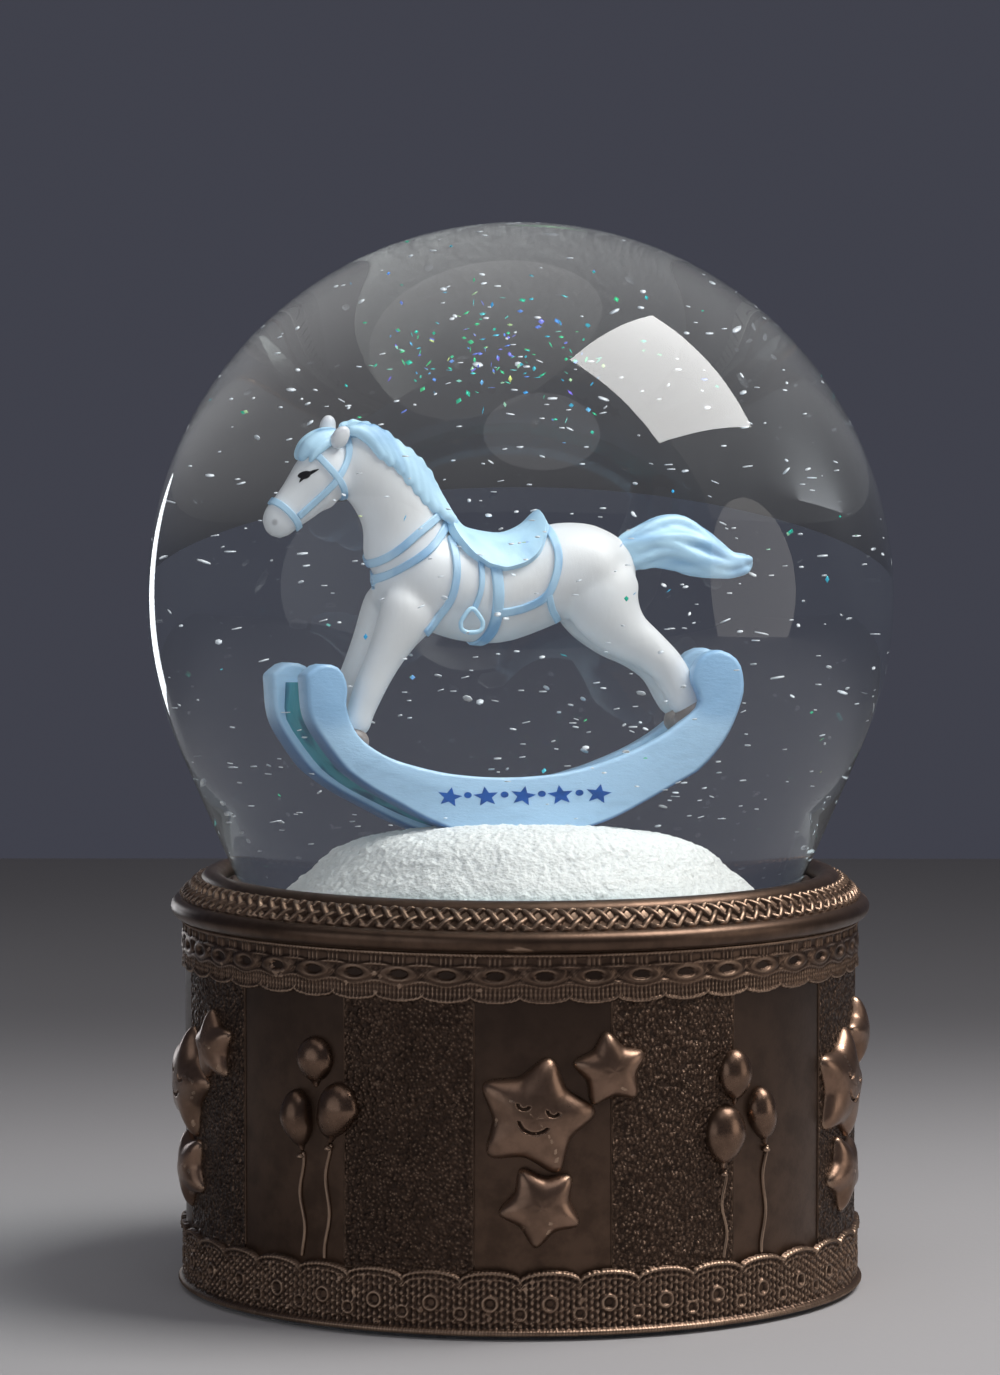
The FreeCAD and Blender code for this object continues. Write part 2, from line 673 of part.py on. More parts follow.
def make_comb():
    """Eighteen steel teeth of graded length, whose tips face the pinned drum."""
    x0, x1 = cylinder_x
    tip_y = -(cylinder_r + pin_proud + comb_gap)
    comb = box(cylinder_x, (comb_y[0], tip_y), (axle_z - comb_t / 2, axle_z + comb_t / 2))
    pitch = (x1 - x0) / comb_teeth
    for tooth in range(1, comb_teeth):
        x = x0 + pitch * tooth
        root_y = comb_y[1] + 0.6 + 2.2 * tooth / comb_teeth
        slot_x = (x - comb_slot_w / 2, x + comb_slot_w / 2)
        comb = comb.cut(box(slot_x, (root_y, tip_y + 1), (axle_z - comb_t, axle_z + comb_t)))
    for x in comb_screws_x:
        comb = comb.cut(rod(small_screw_r, axle_z - 1, axle_z + 1, x, comb_screw_y))
    return comb


def main():
    os.makedirs("parts", exist_ok=True)
    mound = make_mound()
    horse = make_horse()
    rocker = make_rocker(mound).cut(horse)
    save("glass_globe", make_globe())
    save("globe_liquid", make_liquid(mound, rocker, horse))
    save("rubber_stopper", make_stopper())
    save("neck_sealant", make_sealant())
    save("snow_mound", mound)
    save("horse_figure", horse)
    save("rocker_frame", rocker)
    save("base_drum", make_base())
    save("bottom_cover", make_cover())
    save("felt_ring", ring(felt_inner_r, felt_outer_r, 0, felt_t))
    cover_screws = [
        screw(*at_angle(boss_ring_r, deg), cover_z, screw_r, 2.5, 9, 1) for deg in boss_degs]
    save("cover_screws", Part.makeCompound(cover_screws))
    plate_screws = [screw(x, y, cover_z, screw_r, 2.3, 6, 1) for x, y in movement_screws]
    save("movement_screws", Part.makeCompound(plate_screws))
    save("movement_bedplate", make_bedplate())
    save("spring_housing", make_housing())
    save("mainspring", make_mainspring())
    save("winding_arbor", make_arbor())
    save("winding_key", make_key())
    save("crown_gear", make_crown_gear())
    save("music_cylinder", make_cylinder())
    save("cylinder_spindle", make_spindle())
    save("cylinder_pinion", make_cylinder_pinion())
    save("drive_gear", make_drive_gear())
    save("governor_axle", make_wheel_axle())
    save("worm_wheel", make_worm_wheel())
    save("worm_shaft", make_worm())
    save("air_brake", make_fan())
    save("governor_frame", make_governor_frame())
    save("music_comb", make_comb())
    comb_screws = [
        screw(x, comb_screw_y, axle_z + comb_t / 2, small_screw_r, 1.7, 6, -1) for x in comb_screws_x]
    save("comb_screws", Part.makeCompound(comb_screws))
    frame_screws = [
        screw(worm_x, y, plate_top + bracket_foot_t, small_screw_r, 1.4, 2.6, -1) for y in governor_screws_y]
    save("governor_screws", Part.makeCompound(frame_screws))


main()
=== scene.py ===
"""A musical snow globe: a rocking horse under glass on a cast base with lace trims, stars and balloons.

Sizes inside the shape functions are millimetres; reshape() turns them into metres. The globe's axis
is Z, the front faces -Y, and angles on the base are degrees round from the front towards +X.
"""
import json
import math
import random

import bpy
import numpy as np
from bpy.props import FloatProperty, FloatVectorProperty, IntProperty, PointerProperty
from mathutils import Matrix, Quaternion, Vector
from mathutils.bvhtree import BVHTree


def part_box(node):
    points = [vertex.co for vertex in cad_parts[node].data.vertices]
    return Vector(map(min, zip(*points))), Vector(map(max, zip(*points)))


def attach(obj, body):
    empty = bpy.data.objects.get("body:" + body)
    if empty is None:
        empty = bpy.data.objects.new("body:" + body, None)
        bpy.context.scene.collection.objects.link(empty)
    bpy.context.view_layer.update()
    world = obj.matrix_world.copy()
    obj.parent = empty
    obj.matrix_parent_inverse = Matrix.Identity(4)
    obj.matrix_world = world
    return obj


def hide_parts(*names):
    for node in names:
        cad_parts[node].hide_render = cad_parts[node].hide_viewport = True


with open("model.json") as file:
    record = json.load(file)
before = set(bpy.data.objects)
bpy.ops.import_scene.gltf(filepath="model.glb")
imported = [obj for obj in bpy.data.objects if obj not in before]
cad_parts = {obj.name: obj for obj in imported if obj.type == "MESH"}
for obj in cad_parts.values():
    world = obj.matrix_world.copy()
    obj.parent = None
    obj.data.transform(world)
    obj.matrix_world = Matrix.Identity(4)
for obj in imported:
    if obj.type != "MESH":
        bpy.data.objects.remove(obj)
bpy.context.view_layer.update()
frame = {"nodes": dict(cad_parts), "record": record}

bl_info = {
    "name": "Musical Snow Globe",
    "version": (1, 0, 0),
    "blender": (4, 5, 0),
    "location": "View3D > Sidebar > Snow Globe",
    "description": "Builds a water globe with a rocking horse on a cast base",
    "category": "Object",
}

MM = 0.001
SAME_PLACE = 1e-6
ROOT = "globe_and_base"
FIGURE_YAW = 16.0
GLASS_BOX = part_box("glass_globe")
MOUND_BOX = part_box("snow_mound")
DRUM_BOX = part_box("base_drum")

CAMERA_PLACE = (0.0, -0.77198, 0.13588)
CAMERA_TURN = (math.pi / 2 - 0.072, 0.0, 0.0035)
LENS_MM = 151.0
STUDIO_TINT = (0.052, 0.054, 0.072)
BALL_MIDDLE = Vector((0, 0, 0.0925))
KEY_WAY = (0.544, -0.081, 0.835)
KEY_TINT = (1.0, 0.985, 0.97)
COOL_TINT = (0.93, 0.96, 1.0)
# name, way from the ball, distance, width, height, radiance, tint, roll and the rays that miss it
LAMPS = (
    ("key", KEY_WAY, 0.424, 0.259, 0.242, 11.0, KEY_TINT, -17.0, ""),
    ("key_gloss", KEY_WAY, 0.424, 0.259, 0.242, 8.0, KEY_TINT, -17.0, "diffuse"),
    ("soft_left", (-0.80, -0.75, 0.10), 0.9, 1.0, 0.8, 0.60, COOL_TINT, 0.0, ""),
    ("soft_right", (1.0, -0.30, 0.06), 0.6, 0.34, 0.46, 1.25, (1.0, 0.94, 0.88), 0.0, ""),
    ("soft_top", (0.1, -0.60, 0.80), 0.9, 0.5, 0.4, 0.75, (0.96, 0.96, 1.0), 0.0, ""),
    ("soft_over", (-0.15, 0.04, 0.99), 0.9, 1.2, 0.8, 0.40, (1.0, 0.97, 0.95), 0.0, ""),
    ("fill_front", (-0.25, -1.0, 0.16), 0.85, 0.7, 0.7, 1.7, (0.97, 0.98, 1.0), 0.0, "glossy"),
    ("rim_left", (-0.47, 0.88, -0.14), 0.5, 0.085, 0.26, 3.2, COOL_TINT, 0.0, "diffuse"),
)


# ---- sizes and colours ----
def length(name, text, default):
    return FloatProperty(name=name, description=text, default=default, unit="LENGTH", precision=4)


def colour(name, text, default):
    return FloatVectorProperty(
        name=name, description=text, default=default, subtype="COLOR", size=3, min=0.0, max=1.0)


def number(name, text, default):
    return IntProperty(name=name, description=text, default=default, min=0, max=3000)


class GlobeSizes(bpy.types.PropertyGroup):
    ball_r: length(
        "Ball radius", "Outside radius of the glass ball", (GLASS_BOX[1][0] - GLASS_BOX[0][0]) / 2)
    top_z: length("Top", "Height of the ball's top", GLASS_BOX[1][2])
    neck_end_z: length("Neck end", "Height of the neck's lower rim", GLASS_BOX[0][2])
    wall: length("Glass wall", "Thickness of the glass", 0.0027)
    neck_r: length("Neck radius", "Outside radius of the neck", 0.0368)
    mound_r: length("Mound radius", "Radius of the snow mound's foot", MOUND_BOX[1][0])
    mound_base_z: length("Mound foot", "Height of the snow mound's foot", MOUND_BOX[0][2])
    mound_top_z: length("Mound top", "Height of the snow mound's top", MOUND_BOX[1][2])
    flakes: number("Flakes", "Number of white flakes", 520)
    glitter: number("Glitter", "Number of coloured chips", 210)


class BaseSizes(bpy.types.PropertyGroup):
    drum_r: length("Drum radius", "Radius of the drum's plain wall", 0.045)
    lip_r: length("Lip radius", "Radius of the half-round lip", 0.0014)
    lip_z: length("Lip height", "Height of the lip's middle", 0.0511)
    foot_z: length("Foot", "Height of the drum's lower rim", DRUM_BOX[0][2])
    relief: length("Relief", "How far stars and balloons stand out", 0.0019)
    grain: length("Grain", "Depth of the pebbled panels' grain", 0.00030)


class GlobeColours(bpy.types.PropertyGroup):
    white: colour("White", "Paint of the horse", (0.80, 0.81, 0.83))
    pale_blue: colour("Pale blue", "Paint of the saddle, mane and tail", (0.42, 0.64, 0.83))
    runner_blue: colour("Runner blue", "Paint of the rocker", (0.38, 0.59, 0.80))
    deep_blue: colour("Deep blue", "Painted motif and shading", (0.010, 0.10, 0.42))
    teal: colour("Teal", "Channel between the runners", (0.02, 0.29, 0.36))
    hoof: colour("Hoof", "Paint of the hooves", (0.24, 0.20, 0.185))
    snow: colour("Snow", "Mound and flakes", (0.86, 0.87, 0.85))
    bronze_dark: colour("Bronze, recess", "Base colour in its hollows", (0.022, 0.0125, 0.0085))
    bronze: colour("Bronze", "Base colour", (0.125, 0.078, 0.054))
    bronze_worn: colour("Bronze, worn", "Base colour where it is rubbed", (0.42, 0.29, 0.205))


def sizes():
    return bpy.context.scene.globe_sizes


def base():
    return bpy.context.scene.globe_base


def colours():
    return bpy.context.scene.globe_colours


# ---- shader maths ----
class Wire:
    """A shader socket; arithmetic on it adds Math nodes."""

    def __init__(self, finish, socket):
        self.finish = finish
        self.socket = socket

    def math(self, operation, *terms):
        return self.finish.node("ShaderNodeMath", {"operation": operation}, dict(enumerate(terms)))

    def __add__(self, other):
        return self.math("ADD", self, other)

    def __sub__(self, other):
        return self.math("SUBTRACT", self, other)

    def __rsub__(self, other):
        return self.math("SUBTRACT", other, self)

    def __mul__(self, other):
        return self.math("MULTIPLY", self, other)

    __radd__ = __add__
    __rmul__ = __mul__

    def between(self, low, high):
        """0 below low, 1 above high and smooth between."""
        return self.finish.node(
            "ShaderNodeMapRange", {"interpolation_type": "SMOOTHSTEP"}, {0: self, 1: low, 2: high})


class Finish:
    """A material that is built up node by node."""

    def __init__(self, name):
        self.material = bpy.data.materials.new(name)
        self.material.use_nodes = True
        self.tree = self.material.node_tree
        self.tree.nodes.clear()
        self.out = self.tree.nodes.new("ShaderNodeOutputMaterial")
        self.place = self.node("ShaderNodeTexCoord", output="Object")

    def node(self, kind, settings=None, sockets=None, output=0):
        node = self.tree.nodes.new(kind)
        for name, value in (settings or {}).items():
            if name == "stops":
                ramp = node.color_ramp
                while len(ramp.elements) < len(value):
                    ramp.elements.new(0.5)
                for stop, (at, shade) in zip(ramp.elements, value):
                    stop.position = at
                    stop.color = (*shade, 1.0)
            else:
                setattr(node, name, value)
        for name, value in (sockets or {}).items():
            if isinstance(value, Wire):
                self.tree.links.new(value.socket, node.inputs[name])
            elif hasattr(value, "__len__") and len(value) == 3 and node.inputs[name].type == "RGBA":
                node.inputs[name].default_value = (*value, 1.0)
            else:
                node.inputs[name].default_value = value
        return Wire(self, node.outputs[output])

    def noise(self, scale, detail=3.0, rough=0.5, stretch=(1, 1, 1), twist=0.0, lean=0.0):
        """Cloudy noise with spots of about 1/scale metres, leaning so many degrees about Y."""
        turn = (0, math.radians(lean), 0)
        place = self.node("ShaderNodeMapping", None, {"Vector": self.place, "Rotation": turn})
        place = self.node("ShaderNodeMapping", None, {"Vector": place, "Scale": stretch})
        return self.node("ShaderNodeTexNoise", None, {
            "Vector": place, "Scale": scale, "Detail": detail, "Roughness": rough, "Distortion": twist})

    def spot(self, tint, place, size, shade, amount):
        """Paints a soft round spot over a colour."""
        away = self.node(
            "ShaderNodeVectorMath", {"operation": "DISTANCE"}, {0: self.place, 1: place}, "Value")
        return self.mix((1.0 - away.between(size * 0.55, size)) * amount, tint, shade)

    def cells(self, scale, output="Distance"):
        return self.node("ShaderNodeTexVoronoi", None, {"Vector": self.place, "Scale": scale}, output)

    def mix(self, factor, first, second):
        return self.node("ShaderNodeMix", {"data_type": "RGBA"}, {0: factor, 6: first, 7: second}, 2)

    def edge(self, low, high):
        """0 in hollows, 1 on raised edges."""
        return self.node("ShaderNodeNewGeometry", output="Pointiness").between(low, high)

    def bump(self, height, distance, strength=1.0):
        return self.node("ShaderNodeBump", None, {
            "Height": height, "Distance": distance, "Strength": strength})

    def coordinate(self, axis):
        return self.node("ShaderNodeSeparateXYZ", None, {0: self.place}, axis)

    def surface(self, shader):
        self.tree.links.new(shader.socket, self.out.inputs["Surface"])
        return self.material

    def principled(self, **sockets):
        names = {name.replace("_", " "): value for name, value in sockets.items()}
        return self.surface(self.node("ShaderNodeBsdfPrincipled", None, names))


def glass_finish(name, ior):
    """Clear glass that lets lamps light what is inside."""
    finish = Finish(name)
    glass = finish.node(
        "ShaderNodeBsdfGlass", None, {"Color": (0.985, 0.995, 0.995), "Roughness": 0.0, "IOR": ior})
    clear = finish.node("ShaderNodeBsdfTransparent", None, {"Color": (0.97, 0.985, 0.985)})
    path = finish.node("ShaderNodeLightPath", output="Is Shadow Ray")
    diffuse = Wire(finish, path.socket.node.outputs["Is Diffuse Ray"])
    either = path.math("MAXIMUM", path, diffuse)
    return finish.surface(finish.node("ShaderNodeMixShader", None, {0: either, 1: glass, 2: clear}))


def liquid_finish():
    """A clear filling with a faint haze."""
    finish = Finish("clear_filling")
    clear = finish.node("ShaderNodeBsdfTransparent", None, {"Color": (1.0, 1.0, 1.0)})
    haze = finish.node("ShaderNodeBsdfDiffuse", None, {"Color": (0.80, 0.86, 0.92)})
    wisps = finish.noise(45.0, 4.0, 0.6).between(0.45, 0.75) * 0.012 + 0.004
    return finish.surface(finish.node("ShaderNodeMixShader", None, {0: wisps, 1: clear, 2: haze}))


def snow_finish():
    """Fine white grains, faintly green-blue low at the front, with painted shade in the hollows."""
    finish = Finish("snow")
    up = finish.coordinate("Z")
    front = finish.coordinate("Y")
    grains = finish.cells(2300.0)
    soft = finish.noise(1300.0, 4.0, 0.6)
    low = (1.0 - up.between(0.0535, 0.0585)) * (1.0 - front.between(-0.024, -0.008))
    tint = finish.mix(low, colours().snow, (0.58, 0.73, 0.74))
    # Painted shade: the hollows between the grains turn grey.
    shade = finish.mix(finish.edge(0.42, 0.51), (0.60, 0.63, 0.64), tint)
    relief = finish.bump(grains * 0.6 + soft, 0.00020, 0.8)
    return finish.principled(Base_Color=shade, Roughness=soft * 0.2 + 0.55, Normal=relief)


def white_finish():
    """Matt white hand paint that drifts a little between cool and warm white, with painted shade in its
    hollows and small grey spots at the nostrils.
    """
    finish = Finish("white_paint")
    drift = finish.noise(130.0, 3.0).between(0.35, 0.7)
    tint = finish.mix(drift, colours().white, (0.74, 0.735, 0.74))
    # Painted shade: creases and hollows turn grey.
    shade = finish.mix(finish.edge(0.42, 0.49), (0.60, 0.62, 0.66), tint)
    for side in (-1.6, 1.6):
        shade = finish.spot(shade, figure_spot(-28.0, 100.9, side), 0.0007, (0.30, 0.29, 0.30), 0.6)
    strokes = finish.noise(1400.0, 3.0, 0.6, (1.0, 1.0, 0.4))
    return finish.principled(
        Base_Color=shade, Roughness=strokes * 0.15 + 0.42, Normal=finish.bump(strokes, 0.00006, 0.5))


def brushed_blue_finish(name, pale, dark, stretch=(1.0, 1.0, 0.35), amount=0.55, lean=0.0):
    """Pale blue hand paint with darker brush marks, and painted shade that darkens its hollows."""
    finish = Finish(name)
    marks = finish.noise(420.0, 4.0, 0.6, stretch, 0.4, lean).between(0.46, 0.74)
    light = tuple(min(1.0, c * 1.18 + 0.06) for c in pale)
    tint = finish.mix(marks * amount, light, pale)
    patches = finish.noise(300.0, 2.0, 0.5, stretch, 0.2, lean).between(0.46, 0.68)
    tint = finish.mix(patches * amount, tint, dark)
    # Painted shade: the hollows take the dark colour.
    shade = finish.mix(finish.edge(0.40, 0.495), dark, tint)
    strokes = finish.noise(1500.0, 3.0, 0.6, stretch, 0.0, lean)
    return finish.principled(
        Base_Color=shade, Roughness=strokes * 0.2 + 0.38, Normal=finish.bump(strokes, 0.00007, 0.6))


def plain_paint_finish(name, tint, rough=0.42, second=None):
    """Flat hand paint that varies a little."""
    finish = Finish(name)
    drift = finish.noise(600.0, 4.0, 0.6)
    other = second or tuple(c * 0.62 for c in tint)
    shade = finish.mix(drift.between(0.42, 0.70), tint, other)
    return finish.principled(
        Base_Color=shade, Roughness=drift * 0.2 + rough - 0.1, Normal=finish.bump(drift, 0.00005, 0.5))


def bronze_finish(name, low, high, rough=0.36, grain=0.5, lift=1.0, tone_and_painted_light=1.0, leather=False):
    """Antiqued bronze paint: dark in the hollows, rubbed bright on what stands out."""
    finish = Finish(name)
    shades = colours()
    # The tone factor scales the whole bronze colour. Above 1 it is painted light: the raised stars and
    # balloons are made brighter as if lit. Below 1 it darkens the ribs and the pebbled panels.
    body_tone_and_painted_light = tuple(c * tone_and_painted_light for c in shades.bronze)
    blotch = finish.noise(260.0, 5.0, 0.62)
    fine = finish.noise(2600.0, 3.0, 0.6)
    worn = finish.edge(low, high)
    hollow = finish.edge(low - 0.09, low + 0.01)
    body = finish.mix(blotch.between(0.36, 0.68), body_tone_and_painted_light, tuple(c * 0.66 for c in body_tone_and_painted_light))
    tint = finish.mix(hollow, shades.bronze_dark, body)
    height, depth = fine, 0.00004
    if leather:
        cell = finish.cells(1900.0)
        tint = finish.mix(cell.between(0.36, 0.66) * 0.55, tint, shades.bronze_dark)
        tint = finish.mix((1.0 - cell).between(0.66, 0.90) * 0.40, tint, shades.bronze_worn)
        height, depth = fine * 0.30 + (1.0 - cell), 0.00030
    rub = worn * (blotch.between(0.28, 0.62) * 0.55 + 0.45) * lift
    tint = finish.mix(rub, tint, shades.bronze_worn)
    rough_all = blotch * 0.16 + fine * 0.10 + (rough - 0.12) - rub * 0.08
    return finish.principled(
        Base_Color=tint, Metallic=hollow * 0.25 + 0.68, Roughness=rough_all,
        Normal=finish.bump(height, depth, grain))


def metal_finish(name, tint, rough, brushed=(1, 1, 1), grain=900.0):
    """Bare or plated metal with fine working lines and patches of tarnish."""
    finish = Finish(name)
    lines = finish.noise(grain, 4.0, 0.6, brushed)
    tarnish = finish.noise(180.0, 3.0).between(0.4, 0.75)
    shade = finish.mix(tarnish, tint, tuple(c * 0.72 for c in tint))
    return finish.principled(
        Base_Color=shade, Metallic=1.0, Roughness=lines * 0.22 + rough - 0.08,
        Normal=finish.bump(lines, 0.00003, 0.4))


def moulded_finish(name, tint, rough, grain=2400.0, depth=0.00004):
    """Rubber or plastic with the fine skin of its mould."""
    finish = Finish(name)
    spots = finish.noise(grain, 4.0, 0.7)
    drift = finish.noise(120.0, 2.0)
    shade = finish.mix(drift.between(0.35, 0.7), tint, tuple(c * 0.8 for c in tint))
    return finish.principled(
        Base_Color=shade, Roughness=spots * 0.2 + rough - 0.1, Normal=finish.bump(spots, depth, 0.7))


def felt_finish():
    """Black wool felt with a little lint."""
    finish = Finish("felt")
    fibres = finish.noise(3200.0, 5.0, 0.75, (1.0, 1.0, 0.5), 1.5)
    lint = finish.noise(700.0, 3.0).between(0.45, 0.8)
    shade = finish.mix(fibres.between(0.35, 0.7), (0.010, 0.010, 0.012), (0.055, 0.055, 0.062))
    shade = finish.mix(lint * 0.3, shade, (0.11, 0.11, 0.12))
    return finish.principled(
        Base_Color=shade, Roughness=0.95, Sheen_Weight=0.35, Normal=finish.bump(fibres, 0.0003, 0.9))


# ---- making shapes ----
def begin():
    bpy.ops.object.select_all(action="DESELECT")


def select_only(obj):
    begin()
    obj.select_set(True)
    bpy.context.view_layer.objects.active = obj


def add(kind, **settings):
    """Adds a primitive of a kind such as grid or uv_sphere."""
    begin()
    getattr(bpy.ops.mesh, f"primitive_{kind}_add")(**settings)
    return bpy.context.object


def points_of(obj):
    flat = np.empty(len(obj.data.vertices) * 3)
    obj.data.vertices.foreach_get("co", flat)
    return flat.reshape(-1, 3)


def reshape(obj, points):
    """Moves every vertex to its new place, given in millimetres."""
    if len(points) != len(obj.data.vertices):
        raise ValueError(f"{obj.name} has {len(obj.data.vertices)} points, not {len(points)}")
    obj.data.vertices.foreach_set("co", (np.asarray(points) * MM).astype(np.float64).ravel())
    obj.data.update()


def edit(obj):
    """Goes into edit mode with the whole of one mesh selected."""
    select_only(obj)
    bpy.ops.object.mode_set(mode="EDIT")
    bpy.ops.mesh.select_all(action="SELECT")


def done():
    bpy.ops.object.mode_set(mode="OBJECT")


def face_outwards(obj, merge=False):
    """Turns every face of a closed shape outwards, after its doubles are merged if asked."""
    edit(obj)
    if merge:
        bpy.ops.mesh.remove_doubles(threshold=SAME_PLACE)
    bpy.ops.mesh.normals_make_consistent(inside=False)
    done()
    return obj


def add_modifier(obj, kind, **settings):
    """Adds a modifier and applies it at once."""
    select_only(obj)
    modifier = obj.modifiers.new(kind.lower(), kind)
    for name, value in settings.items():
        setattr(modifier, name, value)
    bpy.ops.object.modifier_apply(modifier=modifier.name)


def soften(obj, times, factor=0.5):
    add_modifier(obj, "SMOOTH", factor=factor, iterations=times)


def round_rims(obj, width, sharpest):
    """Bevels the edges that turn by more than an angle, in radians."""
    add_modifier(
        obj, "BEVEL", width=width * MM, segments=3, limit_method="ANGLE", angle_limit=sharpest)


def joined(objects):
    """Makes one object of several."""
    if len(objects) > 1:
        begin()
        for obj in objects:
            obj.select_set(True)
        bpy.context.view_layer.objects.active = objects[0]
        bpy.ops.object.join()
    return objects[0]


def fused(parts, voxel, times, factor=0.5):
    """Joins forms into one closed skin and smooths it."""
    whole = joined(parts)
    add_modifier(whole, "REMESH", mode="VOXEL", voxel_size=voxel)
    soften(whole, times, factor)
    return whole


def settle(obj):
    """Takes an object's place, turn and scale into its mesh."""
    select_only(obj)
    bpy.ops.object.transform_apply(location=True, rotation=True, scale=True)
    return obj


def piece(obj, name, material, stands_for=(), angle=None):
    """Names, paints and seats a finished piece."""
    settle(obj)
    obj.name = name
    obj.data.name = name
    if angle is None:
        bpy.ops.object.shade_smooth()
    else:
        bpy.ops.object.shade_smooth_by_angle(angle=math.radians(angle))
    if material is not None:
        obj.data.materials.clear()
        obj.data.materials.append(material)
    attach(obj, ROOT)
    if stands_for:
        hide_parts(*stands_for)
    return obj


def cast(obj, name, paint, stands_for=(), angle=None):
    """A piece of the bronze base."""
    return piece(obj, name, paint, stands_for, angle)


def figure_piece(parts, name, paint, stands_for=(), angle=None):
    """A piece of the figure, drawn along X and turned to its place across the globe."""
    whole = joined(parts)
    whole.rotation_euler = (0, 0, math.radians(FIGURE_YAW))
    return piece(whole, name, paint, stands_for, angle)


def turned(outline, steps):
    """Draws an outline, (radius, height) by point, and spins it round the globe's axis."""
    obj = add("plane", size=MM, location=(0, 0, 0))
    edit(obj)
    bpy.ops.mesh.merge(type="CENTER")
    last = Vector((outline[0][0] * MM, 0, outline[0][1] * MM))
    bpy.ops.transform.translate(value=last)
    for radius, height in outline[1:]:
        here = Vector((radius * MM, 0, height * MM))
        bpy.ops.mesh.extrude_vertices_move(TRANSFORM_OT_translate={"value": here - last})
        last = here
    bpy.ops.mesh.select_all(action="SELECT")
    bpy.ops.mesh.spin(steps=steps, angle=2 * math.pi, center=(0, 0, 0), axis=(0, 0, 1))
    done()
    return face_outwards(obj, merge=True)


def arc(centre, radius, start, end, steps):
    """Points on a circle in the (radius, height) plane; angles in degrees from outwards to up."""
    return [
        (centre[0] + radius * math.cos(math.radians(a)), centre[1] + radius * math.sin(math.radians(a)))
        for a in np.linspace(start, end, steps + 1)]


def wrap(flat, deg, z, drum_r):
    """Lays a shape drawn flat, x across, y up and z out, on the drum."""
    angle = math.radians(deg) + flat[:, 0] / drum_r
    r = drum_r + flat[:, 2]
    return np.column_stack([r * np.sin(angle), -r * np.cos(angle), z + flat[:, 1]])


def on_drum(deg, z, proud, drum_r):
    """One point at an angle and a height on the drum."""
    return wrap(np.array([[0, 0, proud]]), deg, z, drum_r)[0]


def ring_band(around, across, section):
    """A closed ring whose section follows a rule: section(turn, share) gives radius and height.

    share runs from 0 to 1 up the outside face, and the last rows close the back.
    """
    back_rows, back_depth = 4, 0.6
    rows = across + back_rows
    obj = add("grid", x_subdivisions=around, y_subdivisions=rows, size=2.0)
    flat = points_of(obj)
    turn = (flat[:, 0] + 1) / 2
    row = np.round((flat[:, 1] + 1) / 2 * rows)
    row[row == rows] = 0
    radius, height = section(turn, np.clip(row / (across - 1), 0, 1))
    behind = row >= across
    step = (row - across + 1) / (back_rows + 1)
    top, bottom = np.max(height), np.min(height)
    radius = np.where(behind, np.min(radius) - back_depth, radius)
    height = np.where(behind, top + (bottom - top) * step, height)
    angle = math.tau * turn
    reshape(obj, np.column_stack([radius * np.sin(angle), -radius * np.cos(angle), height]))
    return face_outwards(obj, merge=True)


def side_view(path):
    """Stations for points that are given as x and z."""
    return [(x, 0, z) for x, z in path]


def sided(stations, side):
    """The same stations on the near side, -1, or the far side, 1."""
    return [(x, y * side, *rest) for x, y, *rest in stations]


def share_of(values):
    return (values - values.min()) / np.ptp(values)


def smooth_line(stations, shares):
    """Values along a smooth curve through the stations, shares running from 0 to 1."""
    table = np.array(stations, float)
    step = np.linalg.norm(np.diff(table[:, :3], axis=0), axis=1)
    at = np.concatenate([[0], np.cumsum(step)])
    at /= at[-1]
    if len(table) > 2:
        slope = np.gradient(table, at, axis=0)
    else:
        slope = np.repeat(table[1:] - table[:1], 2, axis=0)
    index = np.clip(np.searchsorted(at, shares, side="right") - 1, 0, len(at) - 2)
    width = (at[index + 1] - at[index])[:, None]
    t = (shares - at[index])[:, None] / width
    a, b = table[index], table[index + 1]
    da, db = slope[index] * width, slope[index + 1] * width
    return (
        (2 * t**3 - 3 * t**2 + 1) * a + (t**3 - 2 * t**2 + t) * da
        + (3 * t**2 - 2 * t**3) * b + (t**3 - t**2) * db)


def limb(stations, sides=20, rings=28, across=(0, 1, 0)):
    """A rounded form along a line; each station is x, y, z, half depth and half width."""
    obj = add("uv_sphere", segments=sides, ring_count=rings, radius=1.0)
    ball = points_of(obj)
    across = np.array(across, float)
    share = (1 - np.clip(ball[:, 2], -1, 1)) / 2
    values = smooth_line(stations, share)
    ahead = smooth_line(stations, np.clip(share + 0.01, 0, 1))[:, :3]
    behind = smooth_line(stations, np.clip(share - 0.01, 0, 1))[:, :3]
    forward = ahead - behind
    forward /= np.linalg.norm(forward, axis=1)[:, None]
    side = across - forward * (forward @ across)[:, None]
    side /= np.linalg.norm(side, axis=1)[:, None]
    depth = np.cross(side, forward)
    total = np.linalg.norm(np.diff(np.array(stations)[:, :3], axis=0), axis=1).sum()
    size = np.maximum(values[:, 3], 0.02)
    end = np.clip(np.minimum(share, 1 - share) * total / np.minimum(size, total / 2), 0, 1)
    cap = np.sqrt(np.clip(1 - (1 - end) ** 2, 0, 1))
    spin = np.arctan2(ball[:, 1], ball[:, 0])
    reshape(obj, values[:, :3]
            + side * (np.cos(spin) * values[:, 4] * cap)[:, None]
            + depth * (np.sin(spin) * values[:, 3] * cap)[:, None])
    return obj


def plate(outline, y0, y1, rim=0.0):
    """A flat shape in the XZ plane, given thickness and, if asked, rounded rims."""
    count = 4 * len(outline)
    line = smooth_line(side_view([*outline, outline[0]]), np.linspace(0, 1, count, endpoint=False))
    line[:, 1] = y0
    obj = add("circle", vertices=count, radius=0.01, fill_type="NGON")
    reshape(obj, line)
    edit(obj)
    bpy.ops.mesh.extrude_region_move(TRANSFORM_OT_translate={"value": (0, (y1 - y0) * MM, 0)})
    done()
    face_outwards(obj)
    if rim:
        round_rims(obj, rim, 1.0)
    return obj


def skin_of(obj):
    """The surface that straps and marks are laid on."""
    return BVHTree.FromPolygons([v.co for v in obj.data.vertices], [f.vertices for f in obj.data.polygons])


